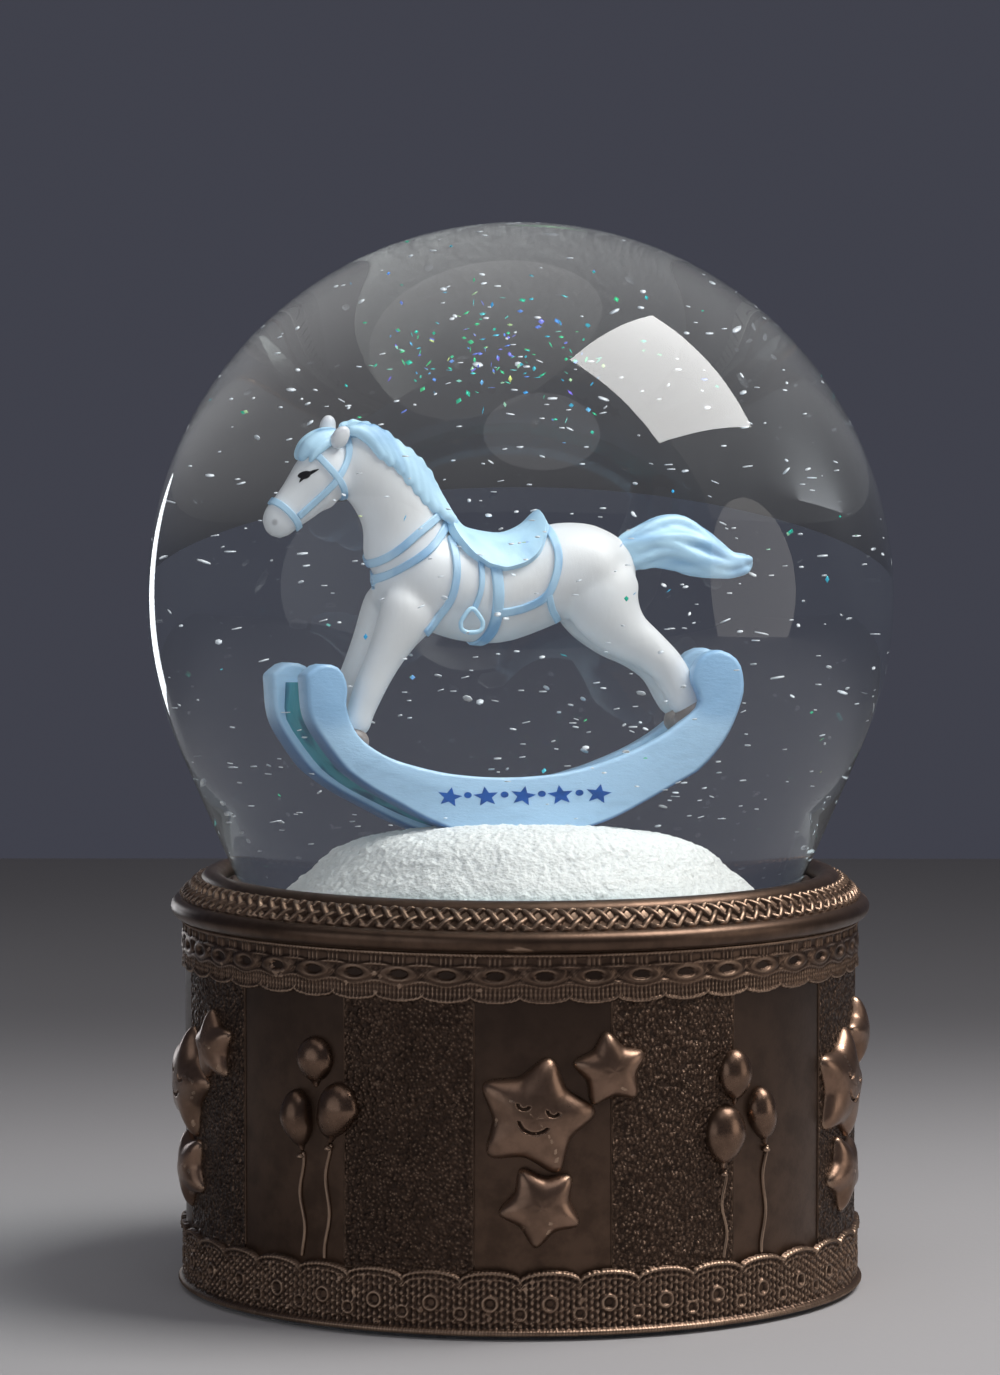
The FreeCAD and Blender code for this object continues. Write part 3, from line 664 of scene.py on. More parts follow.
def laid_on(skin, x, z, side, proud):
    """The place on the figure's skin that is seen straight from the side at x and z."""
    well_clear = 30
    spot, normal = skin.ray_cast(Vector((x, side * well_clear, z)) * MM, Vector((0, -side, 0)))[:2]
    if spot is None:
        spot, normal = skin.find_nearest(Vector((x, 0, z)) * MM)[:2]
    return (spot + normal * proud * MM) / MM


def strap(path, width, skin, side, proud=0.12, thick=0.35, rows=36, smoothing=3, taper=0.0):
    """A strap drawn in side view along a path of x and z, and laid on the figure."""
    obj = add("grid", x_subdivisions=5, y_subdivisions=rows, size=0.01)
    flat = points_of(obj)
    share, off = share_of(flat[:, 1]), share_of(flat[:, 0]) - 0.5
    stations = side_view(path)
    run = (smooth_line(stations, np.clip(share + 0.02, 0, 1))
           - smooth_line(stations, np.clip(share - 0.02, 0, 1)))
    across = np.column_stack([-run[:, 2], run[:, 1], run[:, 0]]) / np.linalg.norm(run, axis=1)[:, None]
    wide = off * width * (1 - taper * np.abs(2 * share - 1) ** 2.5)
    line = smooth_line(stations, share) + across * wide[:, None]
    reshape(obj, [laid_on(skin, x, z, side, proud) for x, _, z in line])
    soften(obj, smoothing)
    add_modifier(obj, "SOLIDIFY", thickness=thick * MM, offset=0.0)
    return face_outwards(obj)


def figure_spot(x, z, y):
    """A place on the figure, in metres, after it is turned across the globe."""
    cos, sin = math.cos(math.radians(FIGURE_YAW)), math.sin(math.radians(FIGURE_YAW))
    return (x * cos - y * sin) * MM, (x * sin + y * cos) * MM, z * MM


def half_round(distance, half_width):
    """Height of a round thread at a distance from its middle line."""
    return np.sqrt(np.clip(half_width**2 - distance**2, 0, None))


# ---- operators ----
class GLOBE_OT_stage(bpy.types.Operator):
    """Lays the floor, sets the camera and hangs the lamps"""
    bl_idname = "globe.stage"
    bl_label = "Stage"

    def execute(self, context):
        scene = context.scene
        scene.view_settings.view_transform = "Standard"
        scene.cycles.max_bounces = 20
        scene.cycles.transmission_bounces = 20
        scene.cycles.transparent_max_bounces = 24
        self.floor()
        world = bpy.data.worlds.new("studio")
        world.use_nodes = True
        background = world.node_tree.nodes["Background"]
        background.inputs["Color"].default_value = (*STUDIO_TINT, 1.0)
        background.inputs["Strength"].default_value = 1.0
        scene.world = world
        for row in LAMPS:
            self.lamp(*row)
        camera = bpy.data.objects.new("camera", bpy.data.cameras.new("camera"))
        scene.collection.objects.link(camera)
        camera.location = CAMERA_PLACE
        camera.rotation_euler = CAMERA_TURN
        camera.data.lens = LENS_MM
        camera.data.sensor_width = 36.0
        camera.data.clip_start = 0.01
        scene.camera = camera
        return {"FINISHED"}

    def floor(self):
        """Pale paper with painted shade that darkens it towards the back."""
        floor = add("plane", size=1.0, location=(0, 0.06, 0))
        floor.scale = (2.4, 1.0, 1.0)
        settle(floor)
        floor.name = "floor"
        finish = Finish("floor_paper")
        cloud = finish.noise(5.0, 3.0)
        fibre = finish.noise(900.0, 3.0)
        shade = finish.mix(cloud, (0.36, 0.35, 0.355), (0.42, 0.41, 0.415))
        # Painted shade: the paper darkens towards the back, standing in for the light falling off.
        shade = finish.mix(finish.coordinate("Y").between(0.04, 0.30), shade, (0.135, 0.13, 0.135))
        floor.data.materials.append(
            finish.principled(Base_Color=shade, Roughness=0.7, Normal=finish.bump(fibre, 0.0001, 0.3)))

    def lamp(self, name, way, distance, wide, high, radiance, tint, roll, missed_by):
        """A soft box that faces the ball; radiance is its brightness wherever it is seen."""
        data = bpy.data.lights.new(name, "AREA")
        data.shape = "RECTANGLE" if name.startswith("key") else "ELLIPSE"
        data.size, data.size_y = wide, high
        filled = 1.0 if data.shape == "RECTANGLE" else math.pi / 4
        data.energy = radiance * math.pi * wide * high * filled
        data.color = tint
        lamp = bpy.data.objects.new(name, data)
        bpy.context.scene.collection.objects.link(lamp)
        way = Vector(way).normalized()
        lamp.location = BALL_MIDDLE + way * distance
        spin = Quaternion((0, 0, 1), math.radians(roll))
        lamp.rotation_euler = (way.to_track_quat("Z", "Y") @ spin).to_euler()
        lamp.visible_camera = False
        lamp.visible_transmission = False
        lamp.visible_diffuse = missed_by != "diffuse"
        lamp.visible_glossy = missed_by != "glossy"


class GLOBE_OT_glass(bpy.types.Operator):
    """Blows the glass ball and fills it"""
    bl_idname = "globe.glass"
    bl_label = "Glass and filling"

    def execute(self, context):
        size = sizes()
        ball, wall, neck = size.ball_r / MM, size.wall / MM, size.neck_r / MM
        top, end = size.top_z / MM, size.neck_end_z / MM
        middle = (0.0, top - ball)
        cone = 23.6
        slope = math.tan(math.radians(cone))
        shoulder, level, play = 0.6, end + 8.0, 0.06

        def half(radius, neck_r, foot):
            """The outside or inside line, from the top down to the neck's rim."""
            line = arc(middle, radius, 90, -cone, 84)
            edge_r, edge_z = line[-1]
            line += [
                (edge_r + (neck_r - edge_r) * t, edge_z - (edge_r - neck_r) * t / slope)
                for t in (0.33, 0.66, 0.97)]
            bend = edge_z - (edge_r - neck_r) / slope
            return line + [(neck_r, bend - shoulder), (neck_r, (bend + foot) / 2), (neck_r, foot)]

        outside = half(ball, neck, end)
        inside = half(ball - wall, neck - wall, end)
        glass = turned(outside + inside[::-1], 192)
        piece(glass, "glass_globe_clear", None, ["glass_globe"])
        glass.data.materials.append(glass_finish("globe_glass", 1.5))
        glass.data.materials.append(glass_finish("glass_to_filling", 1.115))
        centre = Vector((0, 0, middle[1] * MM))
        for face in glass.data.polygons:
            inner = (face.center - centre).dot(face.normal) < 0 and face.center.z > (end + 4) * MM
            face.material_index = 1 if inner else 0
        fill = half(ball - wall - play, neck - wall - play, level)
        liquid = turned(fill + [(0.0, level)], 96)
        piece(liquid, "globe_filling", liquid_finish(), ["globe_liquid"])
        return {"FINISHED"}


class GLOBE_OT_snow(bpy.types.Operator):
    """Heaps the snow mound and scatters flakes and glitter"""
    bl_idname = "globe.snow"
    bl_label = "Snow"

    def execute(self, context):
        size = sizes()
        settled, foot_r = 1.2, 0.5
        radius, low, high = size.mound_r / MM, size.mound_base_z / MM, size.mound_top_z / MM - settled
        slope = (
            (0, 1), (0.36, 0.93), (0.51, 0.85), (0.60, 0.745), (0.675, 0.56), (0.775, 0.275), (0.85, 0.0))
        stations = side_view((radius * out, low + (high - low) * up) for out, up in slope)
        line = [(r, z) for r, _, z in smooth_line(stations, np.linspace(0, 1, 96))]
        line[0] = (0.0, high)
        mound = turned(line + [(radius * foot_r, low), (0.0, low)], 560)
        top = mound.vertex_groups.new(name="above_foot")
        top.add([v.index for v in mound.data.vertices if v.co.z > (low + 1.0) * MM], 1.0, "REPLACE")
        for name, kind, scale, depth in (
                ("drifts", "CLOUDS", 0.006, 0.0006), ("lumps", "CLOUDS", 0.0009, 0.0004),
                ("grains", "VORONOI", 0.0006, 0.0004)):
            texture = bpy.data.textures.new(name, kind)
            texture.noise_scale = scale
            add_modifier(mound, "DISPLACE", texture=texture, strength=depth, mid_level=0.65,
                         texture_coords="LOCAL", vertex_group="above_foot")
        piece(mound, "snow_mound_grained", snow_finish(), ["snow_mound"])
        self.scatter(size)
        return {"FINISHED"}

    def scatter(self, size):
        """Flakes hang level in the filling; glitter chips lie at any angle and gather near the top."""
        rng = random.Random(11)
        ball, top = size.ball_r / MM, size.top_z / MM
        middle = top - ball
        limit = ball - size.wall / MM - 1.5

        def loose():
            while True:
                spot = np.array([rng.uniform(-1, 1) for _ in range(3)]) * limit
                if np.linalg.norm(spot) < limit and spot[2] > -26:
                    return spot + (0, 0, middle)

        def cluster():
            return np.array([rng.gauss(-3.5, 7.5), rng.gauss(-10.0, 8.0), middle + rng.gauss(27.5, 3.2)])

        flake = add("cylinder", vertices=6, radius=0.5 * MM, depth=0.09 * MM)
        self.spread(flake, [loose() for _ in range(size.flakes)], rng, 0.28, (0.3, 0.95))
        white = Finish("flakes")
        glow = white.cells(400.0, output="Color")
        shade = white.mix(glow * 0.35, (0.86, 0.88, 0.92), (0.62, 0.74, 0.86))
        piece(flake, "snow_flakes", white.principled(Base_Color=shade, Roughness=0.45))

        chip = add("cylinder", vertices=4, radius=0.5 * MM, depth=0.04 * MM)
        spots = [loose() if n % 4 == 0 else cluster() for n in range(size.glitter)]
        spots = [s for s in spots if np.linalg.norm(s - (0, 0, middle)) < limit]
        self.spread(chip, spots, rng, 1.6, (0.35, 0.85))
        bright = Finish("glitter")
        hue = bright.node("ShaderNodeSeparateColor", None, {0: bright.cells(330.0, output="Color")})
        shade = bright.node("ShaderNodeValToRGB", {"stops": [
            (0.0, (0.03, 0.55, 0.42)), (0.25, (0.10, 0.75, 0.30)), (0.45, (0.05, 0.42, 0.85)),
            (0.62, (0.30, 0.22, 0.95)), (0.8, (0.10, 0.75, 0.85)), (1.0, (0.75, 0.85, 0.25))]}, {0: hue})
        # Painted light: the chips give off a faint glow in their own colours, standing in for glints.
        foil_and_painted_glow = bright.principled(
            Base_Color=shade, Metallic=0.6, Roughness=0.25, Emission_Color=shade, Emission_Strength=0.35)
        piece(chip, "glitter_chips", foil_and_painted_glow)

    def spread(self, model, spots, rng, tilt, scale):
        """Copies one modelled chip to every spot, in one mesh."""
        shape = points_of(model) / MM
        faces = [list(face.vertices) for face in model.data.polygons]
        points, polygons = [], []
        for spot in spots:
            around, lean = rng.uniform(0, math.tau), rng.gauss(0, tilt)
            cos, sin = math.cos(around), math.sin(around)
            turn = np.array([[cos, -sin, 0], [sin, cos, 0], [0, 0, 1]])
            cos, sin = math.cos(lean), math.sin(lean)
            tip = np.array([[1, 0, 0], [0, cos, -sin], [0, sin, cos]])
            wide = np.array([rng.uniform(*scale), rng.uniform(*scale), 1.0])
            polygons += [[i + len(points) for i in face] for face in faces]
            points += list((shape * wide) @ tip.T @ turn.T + spot)
        mesh = bpy.data.meshes.new("chips")
        mesh.from_pydata([tuple(p * MM) for p in points], [], polygons)
        model.data = mesh


class GLOBE_OT_rocker(bpy.types.Operator):
    """Cuts the two runners, their channel and the painted motif"""
    bl_idname = "globe.rocker"
    bl_label = "Rocker"

    def execute(self, context):
        top = sizes().mound_top_z / MM
        runner = (
            (-25.8, 15.2), (-23.9, 16.4), (-21.7, 16.0), (-20.8, 14.2), (-20.9, 12.0), (-19.7, 9.0),
            (-16.8, 6.9), (-13.0, 5.7), (-8.5, 4.9), (-3.6, 4.6), (1.2, 5.0), (5.6, 5.9), (9.4, 7.2),
            (12.6, 8.7), (15.4, 10.6), (17.2, 12.5), (16.4, 14.8), (17.2, 16.9), (19.0, 17.7),
            (21.0, 16.7), (21.7, 14.2), (21.0, 11.2), (19.5, 8.2), (17.4, 5.8), (14.7, 3.7), (11.4, 1.2),
            (8.0, -1.1), (4.0, -2.8), (0.0, -3.6), (-4.0, -3.6), (-8.0, -3.1), (-11.6, -1.5),
            (-15.0, 0.6), (-18.3, 2.7), (-21.2, 5.1), (-23.6, 7.9), (-25.1, 10.2))
        web = (
            (-24.3, 14.4), (-22.9, 13.6), (-21.9, 10.6), (-20.0, 7.2), (-16.6, 5.2), (-8.5, 3.2),
            (0.0, 2.9), (9.0, 5.2), (15.0, 8.6), (18.4, 12.2), (19.0, 10.0), (15.0, 5.0), (8.0, 0.4),
            (0.0, -2.4), (-8.0, -2.0), (-11.2, -0.6), (-14.7, 1.4), (-17.9, 3.4), (-20.6, 5.8),
            (-22.9, 8.5), (-24.3, 10.6))
        shades = colours()
        paint = self.runner_finish(shades, top)
        outline = [(x, z + top) for x, z in runner]
        for name, y, stands_for in (("near", -6.0, ["rocker_frame"]), ("far", 3.0, ())):
            board = plate(outline, y, y + 3.0, 0.45)
            figure_piece([board], f"runner_{name}", paint, stands_for, 40)
        channel = brushed_blue_finish(
            "channel_paint", tuple(shades.teal), (0.012, 0.05, 0.16), (1, 1, 0.5), 0.8)
        middle = plate([(x, z + top) for x, z in web], -3.2, 3.2)
        figure_piece([middle], "runner_channel", channel, (), 40)
        self.motif(shades, top)
        return {"FINISHED"}

    def runner_finish(self, shades, top):
        finish = Finish("runner_paint")
        marks = finish.noise(300.0, 4.0, 0.6, (1.0, 1.0, 3.0), 0.6).between(0.42, 0.72)
        pale = tuple(shades.runner_blue)
        tint = finish.mix(marks * 0.6, tuple(min(1, c * 1.12 + 0.04) for c in pale), pale)
        # Painted shade: faces that turn downwards darken towards deep blue.
        normal = finish.node("ShaderNodeNewGeometry", output="Normal")
        split = finish.node("ShaderNodeSeparateXYZ", None, {0: normal}, "Z")
        down = (0.0 - split).between(0.05, 0.7)
        tint = finish.mix(down * 0.85, tint, (0.035, 0.13, 0.34))
        # Painted shade: soft darker blue spots on the near runner's curled ends, standing in for the hollows
        # of the scrolls.
        for x, z in ((-23.0, 13.6), (19.2, 14.6)):
            tint = finish.spot(tint, figure_spot(x, z + top, -6.0), 0.0052, (0.13, 0.33, 0.60), 0.45)
        strokes = finish.noise(1500.0, 3.0, 0.6, (1, 1, 2.5))
        return finish.principled(
            Base_Color=tint, Roughness=strokes * 0.2 + 0.32, Normal=finish.bump(strokes, 0.00008, 0.6))

    def motif(self, shades, top):
        """Painted stars and dots on the middle of each runner's outer face."""
        tip_r, notch_r, dot_r, face_y, thick = 1.40, 0.62, 0.42, 6.02, 0.05
        marks = []
        for side in (-1, 1):
            for n, x in enumerate(np.linspace(-9.4, 6.6, 9)):
                star = n % 2 == 0
                height = 2.05 + 0.04 * (x + 1.7) + (0.0 if star else 0.25)
                mark = add("cylinder", vertices=10 if star else 18, radius=1.0, depth=1.0)
                flat = points_of(mark)
                around = np.arctan2(flat[:, 1], flat[:, 0]) - math.pi / 2
                if star:
                    r = np.where(np.round(around / math.tau * 10) % 2 == 0, tip_r, notch_r)
                else:
                    r = np.full(len(flat), dot_r)
                turn = around + math.radians(90 + (8 if n % 4 else -10))
                reshape(mark, np.column_stack([
                    x + r * np.cos(turn), side * face_y + np.sign(flat[:, 2]) * thick,
                    top + height + r * np.sin(turn)]))
                marks.append(face_outwards(mark))
        paint = plain_paint_finish("deep_blue_paint", tuple(shades.deep_blue), 0.36)
        figure_piece(marks, "runner_motif", paint, (), 40)


class GLOBE_OT_horse(bpy.types.Operator):
    """Models the horse, its mane, tail, saddle, straps and bridle"""
    bl_idname = "globe.horse"
    bl_label = "Horse"

    def execute(self, context):
        shades = colours()
        body = self.body()
        pale, dark = tuple(shades.pale_blue), (0.15, 0.35, 0.62)
        mane_blue = brushed_blue_finish("mane_paint", pale, dark, (1.0, 1.0, 0.22), 0.75, 40.0)
        tail_blue = brushed_blue_finish("tail_paint", pale, dark, (0.25, 1.0, 1.0), 0.6)
        saddle_blue = brushed_blue_finish("saddle_paint", pale, (0.20, 0.42, 0.68), amount=0.35)
        strap_blue = brushed_blue_finish(
            "strap_paint", tuple(c * 0.84 for c in pale), (0.12, 0.32, 0.60), amount=0.6)
        skin = skin_of(body)
        self.tack(body, skin, saddle_blue, strap_blue)
        self.hair(mane_blue, tail_blue)
        self.face(skin)
        self.hooves(shades)
        figure_piece([body], "horse_body", white_finish(), stands_for=["horse_figure"])
        return {"FINISHED"}

    def body(self):
        barrel = (
            (-15.4, 0, 95.2, 3.4, 3.0), (-13.6, 0, 94.6, 5.2, 4.2), (-10.0, 0, 94.4, 5.1, 4.9),
            (-5.0, 0, 93.1, 5.2, 5.1), (-2.5, 0, 92.9, 5.1, 5.1), (0.0, 0, 93.4, 4.8, 5.0),
            (4.0, 0, 94.9, 4.8, 4.9), (8.0, 0, 94.9, 4.6, 4.8), (11.7, 0, 95.6, 4.2, 3.6))
        neck = (
            (-20.2, 0, 108.0, 2.6, 1.9), (-18.0, 0, 107.0, 3.6, 2.2), (-15.0, 0, 104.5, 3.9, 2.5),
            (-12.9, 0, 101.0, 4.1, 3.0), (-11.8, 0, 97.0, 4.9, 3.9), (-11.2, 0, 93.9, 5.0, 4.5))
        head = (
            (-18.6, 0, 107.6, 3.0, 2.0), (-20.3, 0, 106.6, 3.5, 2.4), (-22.0, 0, 105.2, 3.3, 2.4),
            (-24.2, 0, 103.1, 2.65, 1.95), (-26.2, 0, 101.4, 2.2, 1.7), (-28.1, 0, 99.7, 2.15, 1.8))
        jaw = ((-20.4, 0, 104.6, 2.2, 2.1), (-21.6, 0, 103.9, 2.3, 2.2), (-23.2, 0, 102.4, 1.6, 1.7))
        fore_leg = (
            (-11.2, 2.3, 93.2, 4.3, 2.4), (-13.2, 2.7, 90.4, 3.0, 2.2), (-14.6, 2.75, 88.0, 2.25, 1.95),
            (-16.0, 2.7, 85.4, 1.85, 1.75), (-17.2, 2.65, 83.0, 1.72, 1.65), (-18.2, 2.6, 80.4, 1.5, 1.5),
            (-18.9, 2.6, 78.2, 1.6, 1.6))
        hind_leg = (
            (6.2, 1.8, 96.0, 3.2, 2.0), (7.4, 2.4, 93.8, 4.1, 2.6), (8.0, 2.7, 91.5, 3.75, 2.6),
            (9.9, 2.8, 88.9, 2.75, 2.3), (12.3, 2.75, 87.2, 2.15, 2.0), (14.5, 2.7, 85.2, 1.85, 1.75),
            (15.7, 2.65, 83.0, 1.8, 1.65), (17.0, 2.6, 80.7, 1.8, 1.7))
        parts = [limb(barrel, 32, 44), limb(neck, 28, 36), limb(head, 24, 36), limb(jaw, 16, 16)]
        for side in (-1, 1):
            parts += [limb(sided(fore_leg, side), 20, 32), limb(sided(hind_leg, side), 20, 36)]
        return fused(parts, 0.00030, 20, 0.6)

    def saddle(self, body):
        """A seat that is draped over the back and raised at its front and back."""
        saddle = add("grid", x_subdivisions=40, y_subdivisions=48, size=2.0)
        flat = points_of(saddle)
        along, over = flat[:, 0], flat[:, 1]
        reach = np.interp(
            along, (-1, -0.9, -0.64, -0.35, 0, 0.42, 0.7, 0.93, 1),
            (0.40, 0.64, 0.92, 1.12, 1.2, 1.1, 0.92, 0.55, 0.40))
        angle = over * reach
        x = -2.9 + along * 5.2
        reshape(saddle, np.column_stack([x, 6.2 * np.sin(angle), 93.4 + 6.6 * np.cos(angle)]))
        add_modifier(
            saddle, "SHRINKWRAP", target=body, offset=0.25 * MM, wrap_method="NEAREST_SURFACEPOINT")
        soften(saddle, 8)
        points = points_of(saddle) / MM
        crown = np.clip(points[:, 2] - 96.5, 0, None) / 3.0
        back = 0.9 * np.exp(-((points[:, 0] - 2.4) / 1.1) ** 2)
        front = 0.6 * np.exp(-((points[:, 0] + 7.8) / 1.2) ** 2)
        points[:, 2] += crown * (back + front)
        reshape(saddle, points)
        add_modifier(saddle, "SOLIDIFY", thickness=1.0 * MM, offset=0.4)
        face_outwards(saddle)
        round_rims(saddle, 0.3, 0.9)
        soften(saddle, 3)
        return saddle

    def stirrup(self, side):
        """A pear-shaped ring that hangs flat at the horse's side."""
        major = 1.2
        stirrup = add(
            "torus", major_radius=major * MM, minor_radius=0.24 * MM, major_segments=40, minor_segments=10)
        ring = points_of(stirrup) / MM
        spin = np.arctan2(ring[:, 1], ring[:, 0])
        middle = np.column_stack([major * np.cos(spin), major * np.sin(spin)])
        thread = ring[:, :2] - middle
        across, up = middle[:, 0] / major, middle[:, 1] / major
        middle[:, 0] = np.sign(across) * major * np.abs(across) ** 0.75 * (1 - 0.55 * np.clip(up, 0, 1))
        middle[:, 1] = np.where(up > 0, middle[:, 1] * 1.15, -1.05 * np.abs(up) ** 0.55)
        place = middle + thread
        reshape(stirrup, np.column_stack([
            -6.75 + place[:, 0], side * (5.45 + ring[:, 2]), 90.2 + place[:, 1]]))
        return face_outwards(stirrup)

    def tack(self, body, skin, saddle_blue, strap_blue):
        saddle = self.saddle(body)
        lines = (
            (1.25, ((-3.9, 96.4), (-3.8, 92.3), (-4.1, 89.1), (-4.8, 87.4))),
            (0.60, ((-5.4, 96.8), (-5.7, 93.4), (-6.3, 91.6))),
            (0.85, ((-8.1, 98.9), (-8.3, 94.8), (-8.9, 92.4), (-10.3, 90.2), (-11.4, 89.0))),
            (0.85, ((2.4, 99.8), (2.8, 96.9), (2.3, 94.6), (1.4, 92.8), (-0.6, 91.7), (-2.7, 91.2),
                    (-3.8, 91.1))),
            (0.75, ((1.6, 92.8), (2.2, 91.3), (3.2, 90.2))),
            (0.90, ((-8.6, 101.4), (-11.7, 99.5), (-14.6, 97.2), (-17.4, 95.4))),
            (0.90, ((-8.0, 100.4), (-10.4, 98.0), (-13.3, 96.0), (-17.0, 93.6))),
            (0.80, ((-28.5, 103.6), (-27.0, 102.7), (-25.7, 101.5), (-24.5, 100.1))),
            (0.75, ((-25.1, 101.4), (-23.0, 103.2), (-21.0, 105.1), (-20.3, 106.0), (-19.3, 107.5),
                    (-18.9, 109.6))),
            (0.75, ((-24.0, 109.2), (-22.5, 107.4), (-21.0, 105.7), (-20.1, 104.6), (-19.2, 103.0))),
        )
        straps, stirrups = [], []
        for side in (-1, 1):
            straps += [strap(path, width, skin, side) for width, path in lines]
            stirrups.append(self.stirrup(side))
        figure_piece(straps, "horse_straps", strap_blue)
        figure_piece([saddle, *stirrups], "horse_saddle", saddle_blue)

    def hair(self, mane_blue, tail_blue):
        figure_piece([self.tail()], "horse_tail", tail_blue)
        figure_piece([self.mane()], "horse_mane", mane_blue)

    def tail(self):
        dock = (
            (9.4, 0, 96.3, 1.7, 1.3), (11.2, 0, 96.7, 2.0, 1.6), (13.4, 0, 97.5, 2.05, 1.7),
            (15.6, 0, 97.4, 2.35, 1.7), (17.6, 0, 96.6, 2.5, 1.6), (19.4, 0, 95.8, 2.0, 1.4),
            (21.2, 0, 95.2, 1.35, 1.1), (23.4, 0, 95.4, 0.95, 0.8))
        locks = [limb(dock, 24, 36)]
        for side in (-1, 1):
            for level, first, last in (
                    (0.82, 0.10, 0.88), (0.42, 0.04, 1.0), (-0.02, 0.14, 0.94), (-0.44, 0.06, 0.98),
                    (-0.80, 0.18, 0.86)):
                shares = np.linspace(first, last, 7)
                middle = smooth_line(dock, shares)
                bend = level + 0.16 * np.sin(shares * 8 + level * 5)
                spread = np.sqrt(np.clip(1 - bend**2, 0.05, 1))
                size = 0.30 + 0.34 * np.sin(np.pi * np.linspace(0.08, 0.92, 7))
                locks.append(limb(np.column_stack([
                    middle[:, 0], side * middle[:, 4] * spread * 0.92, middle[:, 2] + bend * middle[:, 3],
                    size, size * 0.9]), 12, 28))
        return fused(locks, 0.00020, 4)

    def mane(self):
        crest = side_view((
            (-19.4, 110.4), (-18.0, 111.0), (-16.6, 110.9), (-15.0, 110.2), (-13.3, 108.8), (-11.9, 107.9),
            (-10.7, 106.8), (-9.7, 105.3), (-9.2, 104.0), (-8.2, 102.6), (-7.2, 101.2), (-6.3, 100.0)))
        fringe = side_view((
            (-19.2, 109.5), (-18.5, 109.0), (-17.2, 108.4), (-16.0, 107.6), (-14.7, 106.6), (-13.7, 105.9),
            (-12.9, 104.8), (-11.9, 103.6), (-10.9, 102.4), (-10.0, 101.7), (-8.6, 100.8), (-6.9, 99.8)))
        forelock = (
            (-19.9, 0.3, 109.9, 0.7, 0.9), (-22.0, 0.5, 109.7, 0.85, 0.9), (-23.6, 0.5, 108.8, 0.85, 0.9),
            (-24.6, 0.4, 107.3, 0.5, 0.6))
        side_lock = (
            (-20.4, 1.1, 109.6, 0.5, 0.5), (-22.0, 1.5, 109.1, 0.6, 0.5), (-23.2, 1.6, 108.2, 0.5, 0.45),
            (-23.9, 1.6, 107.2, 0.25, 0.25))
        def strand(shares, drop):
            """Points at a share of the way along the neck, and dropped from its crest towards the fringe."""
            drop = drop[:, None]
            return smooth_line(crest, shares) * (1 - drop) + smooth_line(fringe, shares) * drop

        shares = np.linspace(0, 1, 12)
        depth = np.linalg.norm(smooth_line(crest, shares) - smooth_line(fringe, shares), axis=1) / 2
        ridge = strand(shares, np.full(12, 0.42))
        locks = [limb(np.column_stack([ridge, depth * 0.80, np.linspace(1.2, 0.8, 12)]), 24, 60)]
        along = np.linspace(0, 1, 8)
        drop = 0.10 + 0.94 * along**1.15
        size = 0.42 + 0.30 * np.sin(np.pi * np.clip(along * 0.9 + 0.08, 0, 1))
        for side in (-1, 1):
            for first in (-0.02, 0.06, 0.15, 0.24, 0.33, 0.42, 0.51, 0.60, 0.68):
                place = strand(np.clip(first + along * 0.30, 0.0, 0.97), drop)
                place[:, 1] = side * (0.75 + 1.55 * np.clip(drop, 0, 1) ** 0.8)
                locks.append(limb(np.column_stack([place, size, size * 0.8]), 12, 28))
        for side in (-1, 1):
            locks += [limb(sided(forelock, side), 16, 24), limb(sided(side_lock, side), 12, 20)]
        return fused(locks, 0.00019, 3)

    def face(self, skin):
        """Pricked ears and closed, painted eyes."""
        lid = ((-24.95, 105.1), (-24.5, 105.65), (-23.8, 106.1), (-22.9, 106.5)), 0.36
        shadow = ((-25.0, 105.7), (-24.4, 105.85), (-23.75, 106.2)), 0.80
        ears, marks = [], []
        for side, tip in ((-1, (-19.7, -2.0, 110.9)), (1, (-20.2, 2.0, 111.6))):
            foot = sided(((-20.8, 1.5, 108.6, 0.95, 0.75), (-20.45, 1.85, 109.7, 1.0, 0.72)), side)
            ears.append(limb([*foot, (*tip, 0.72, 0.5)], 18, 22))
            marks += [
                strap(path, width, skin, side, proud=0.03, thick=0.08, rows=20, smoothing=1, taper=0.85)
                for path, width in (lid, shadow)]
        figure_piece(ears, "horse_ears", plain_paint_finish(
            "ear_paint", (0.78, 0.79, 0.81), 0.5, (0.62, 0.62, 0.66)))
        figure_piece(marks, "horse_eye_lines", plain_paint_finish("eye_paint", (0.012, 0.011, 0.012), 0.3))

    def hooves(self, shades):
        fore = (-18.55, 2.6, 79.2, 1.62, 1.6), (-18.9, 2.6, 78.0, 1.72, 1.7), (-19.3, 2.6, 76.6, 1.8, 1.8)
        hind = (16.2, 2.6, 82.2, 1.5, 1.4), (16.8, 2.6, 81.1, 2.0, 1.9), (17.8, 2.6, 79.2, 2.1, 2.0)
        hooves = [limb(sided(hoof, side), 24, 14) for side in (-1, 1) for hoof in (fore, hind)]
        figure_piece(hooves, "horse_hooves", plain_paint_finish(
            "hoof_paint", tuple(shades.hoof), 0.5, (0.36, 0.31, 0.29)))


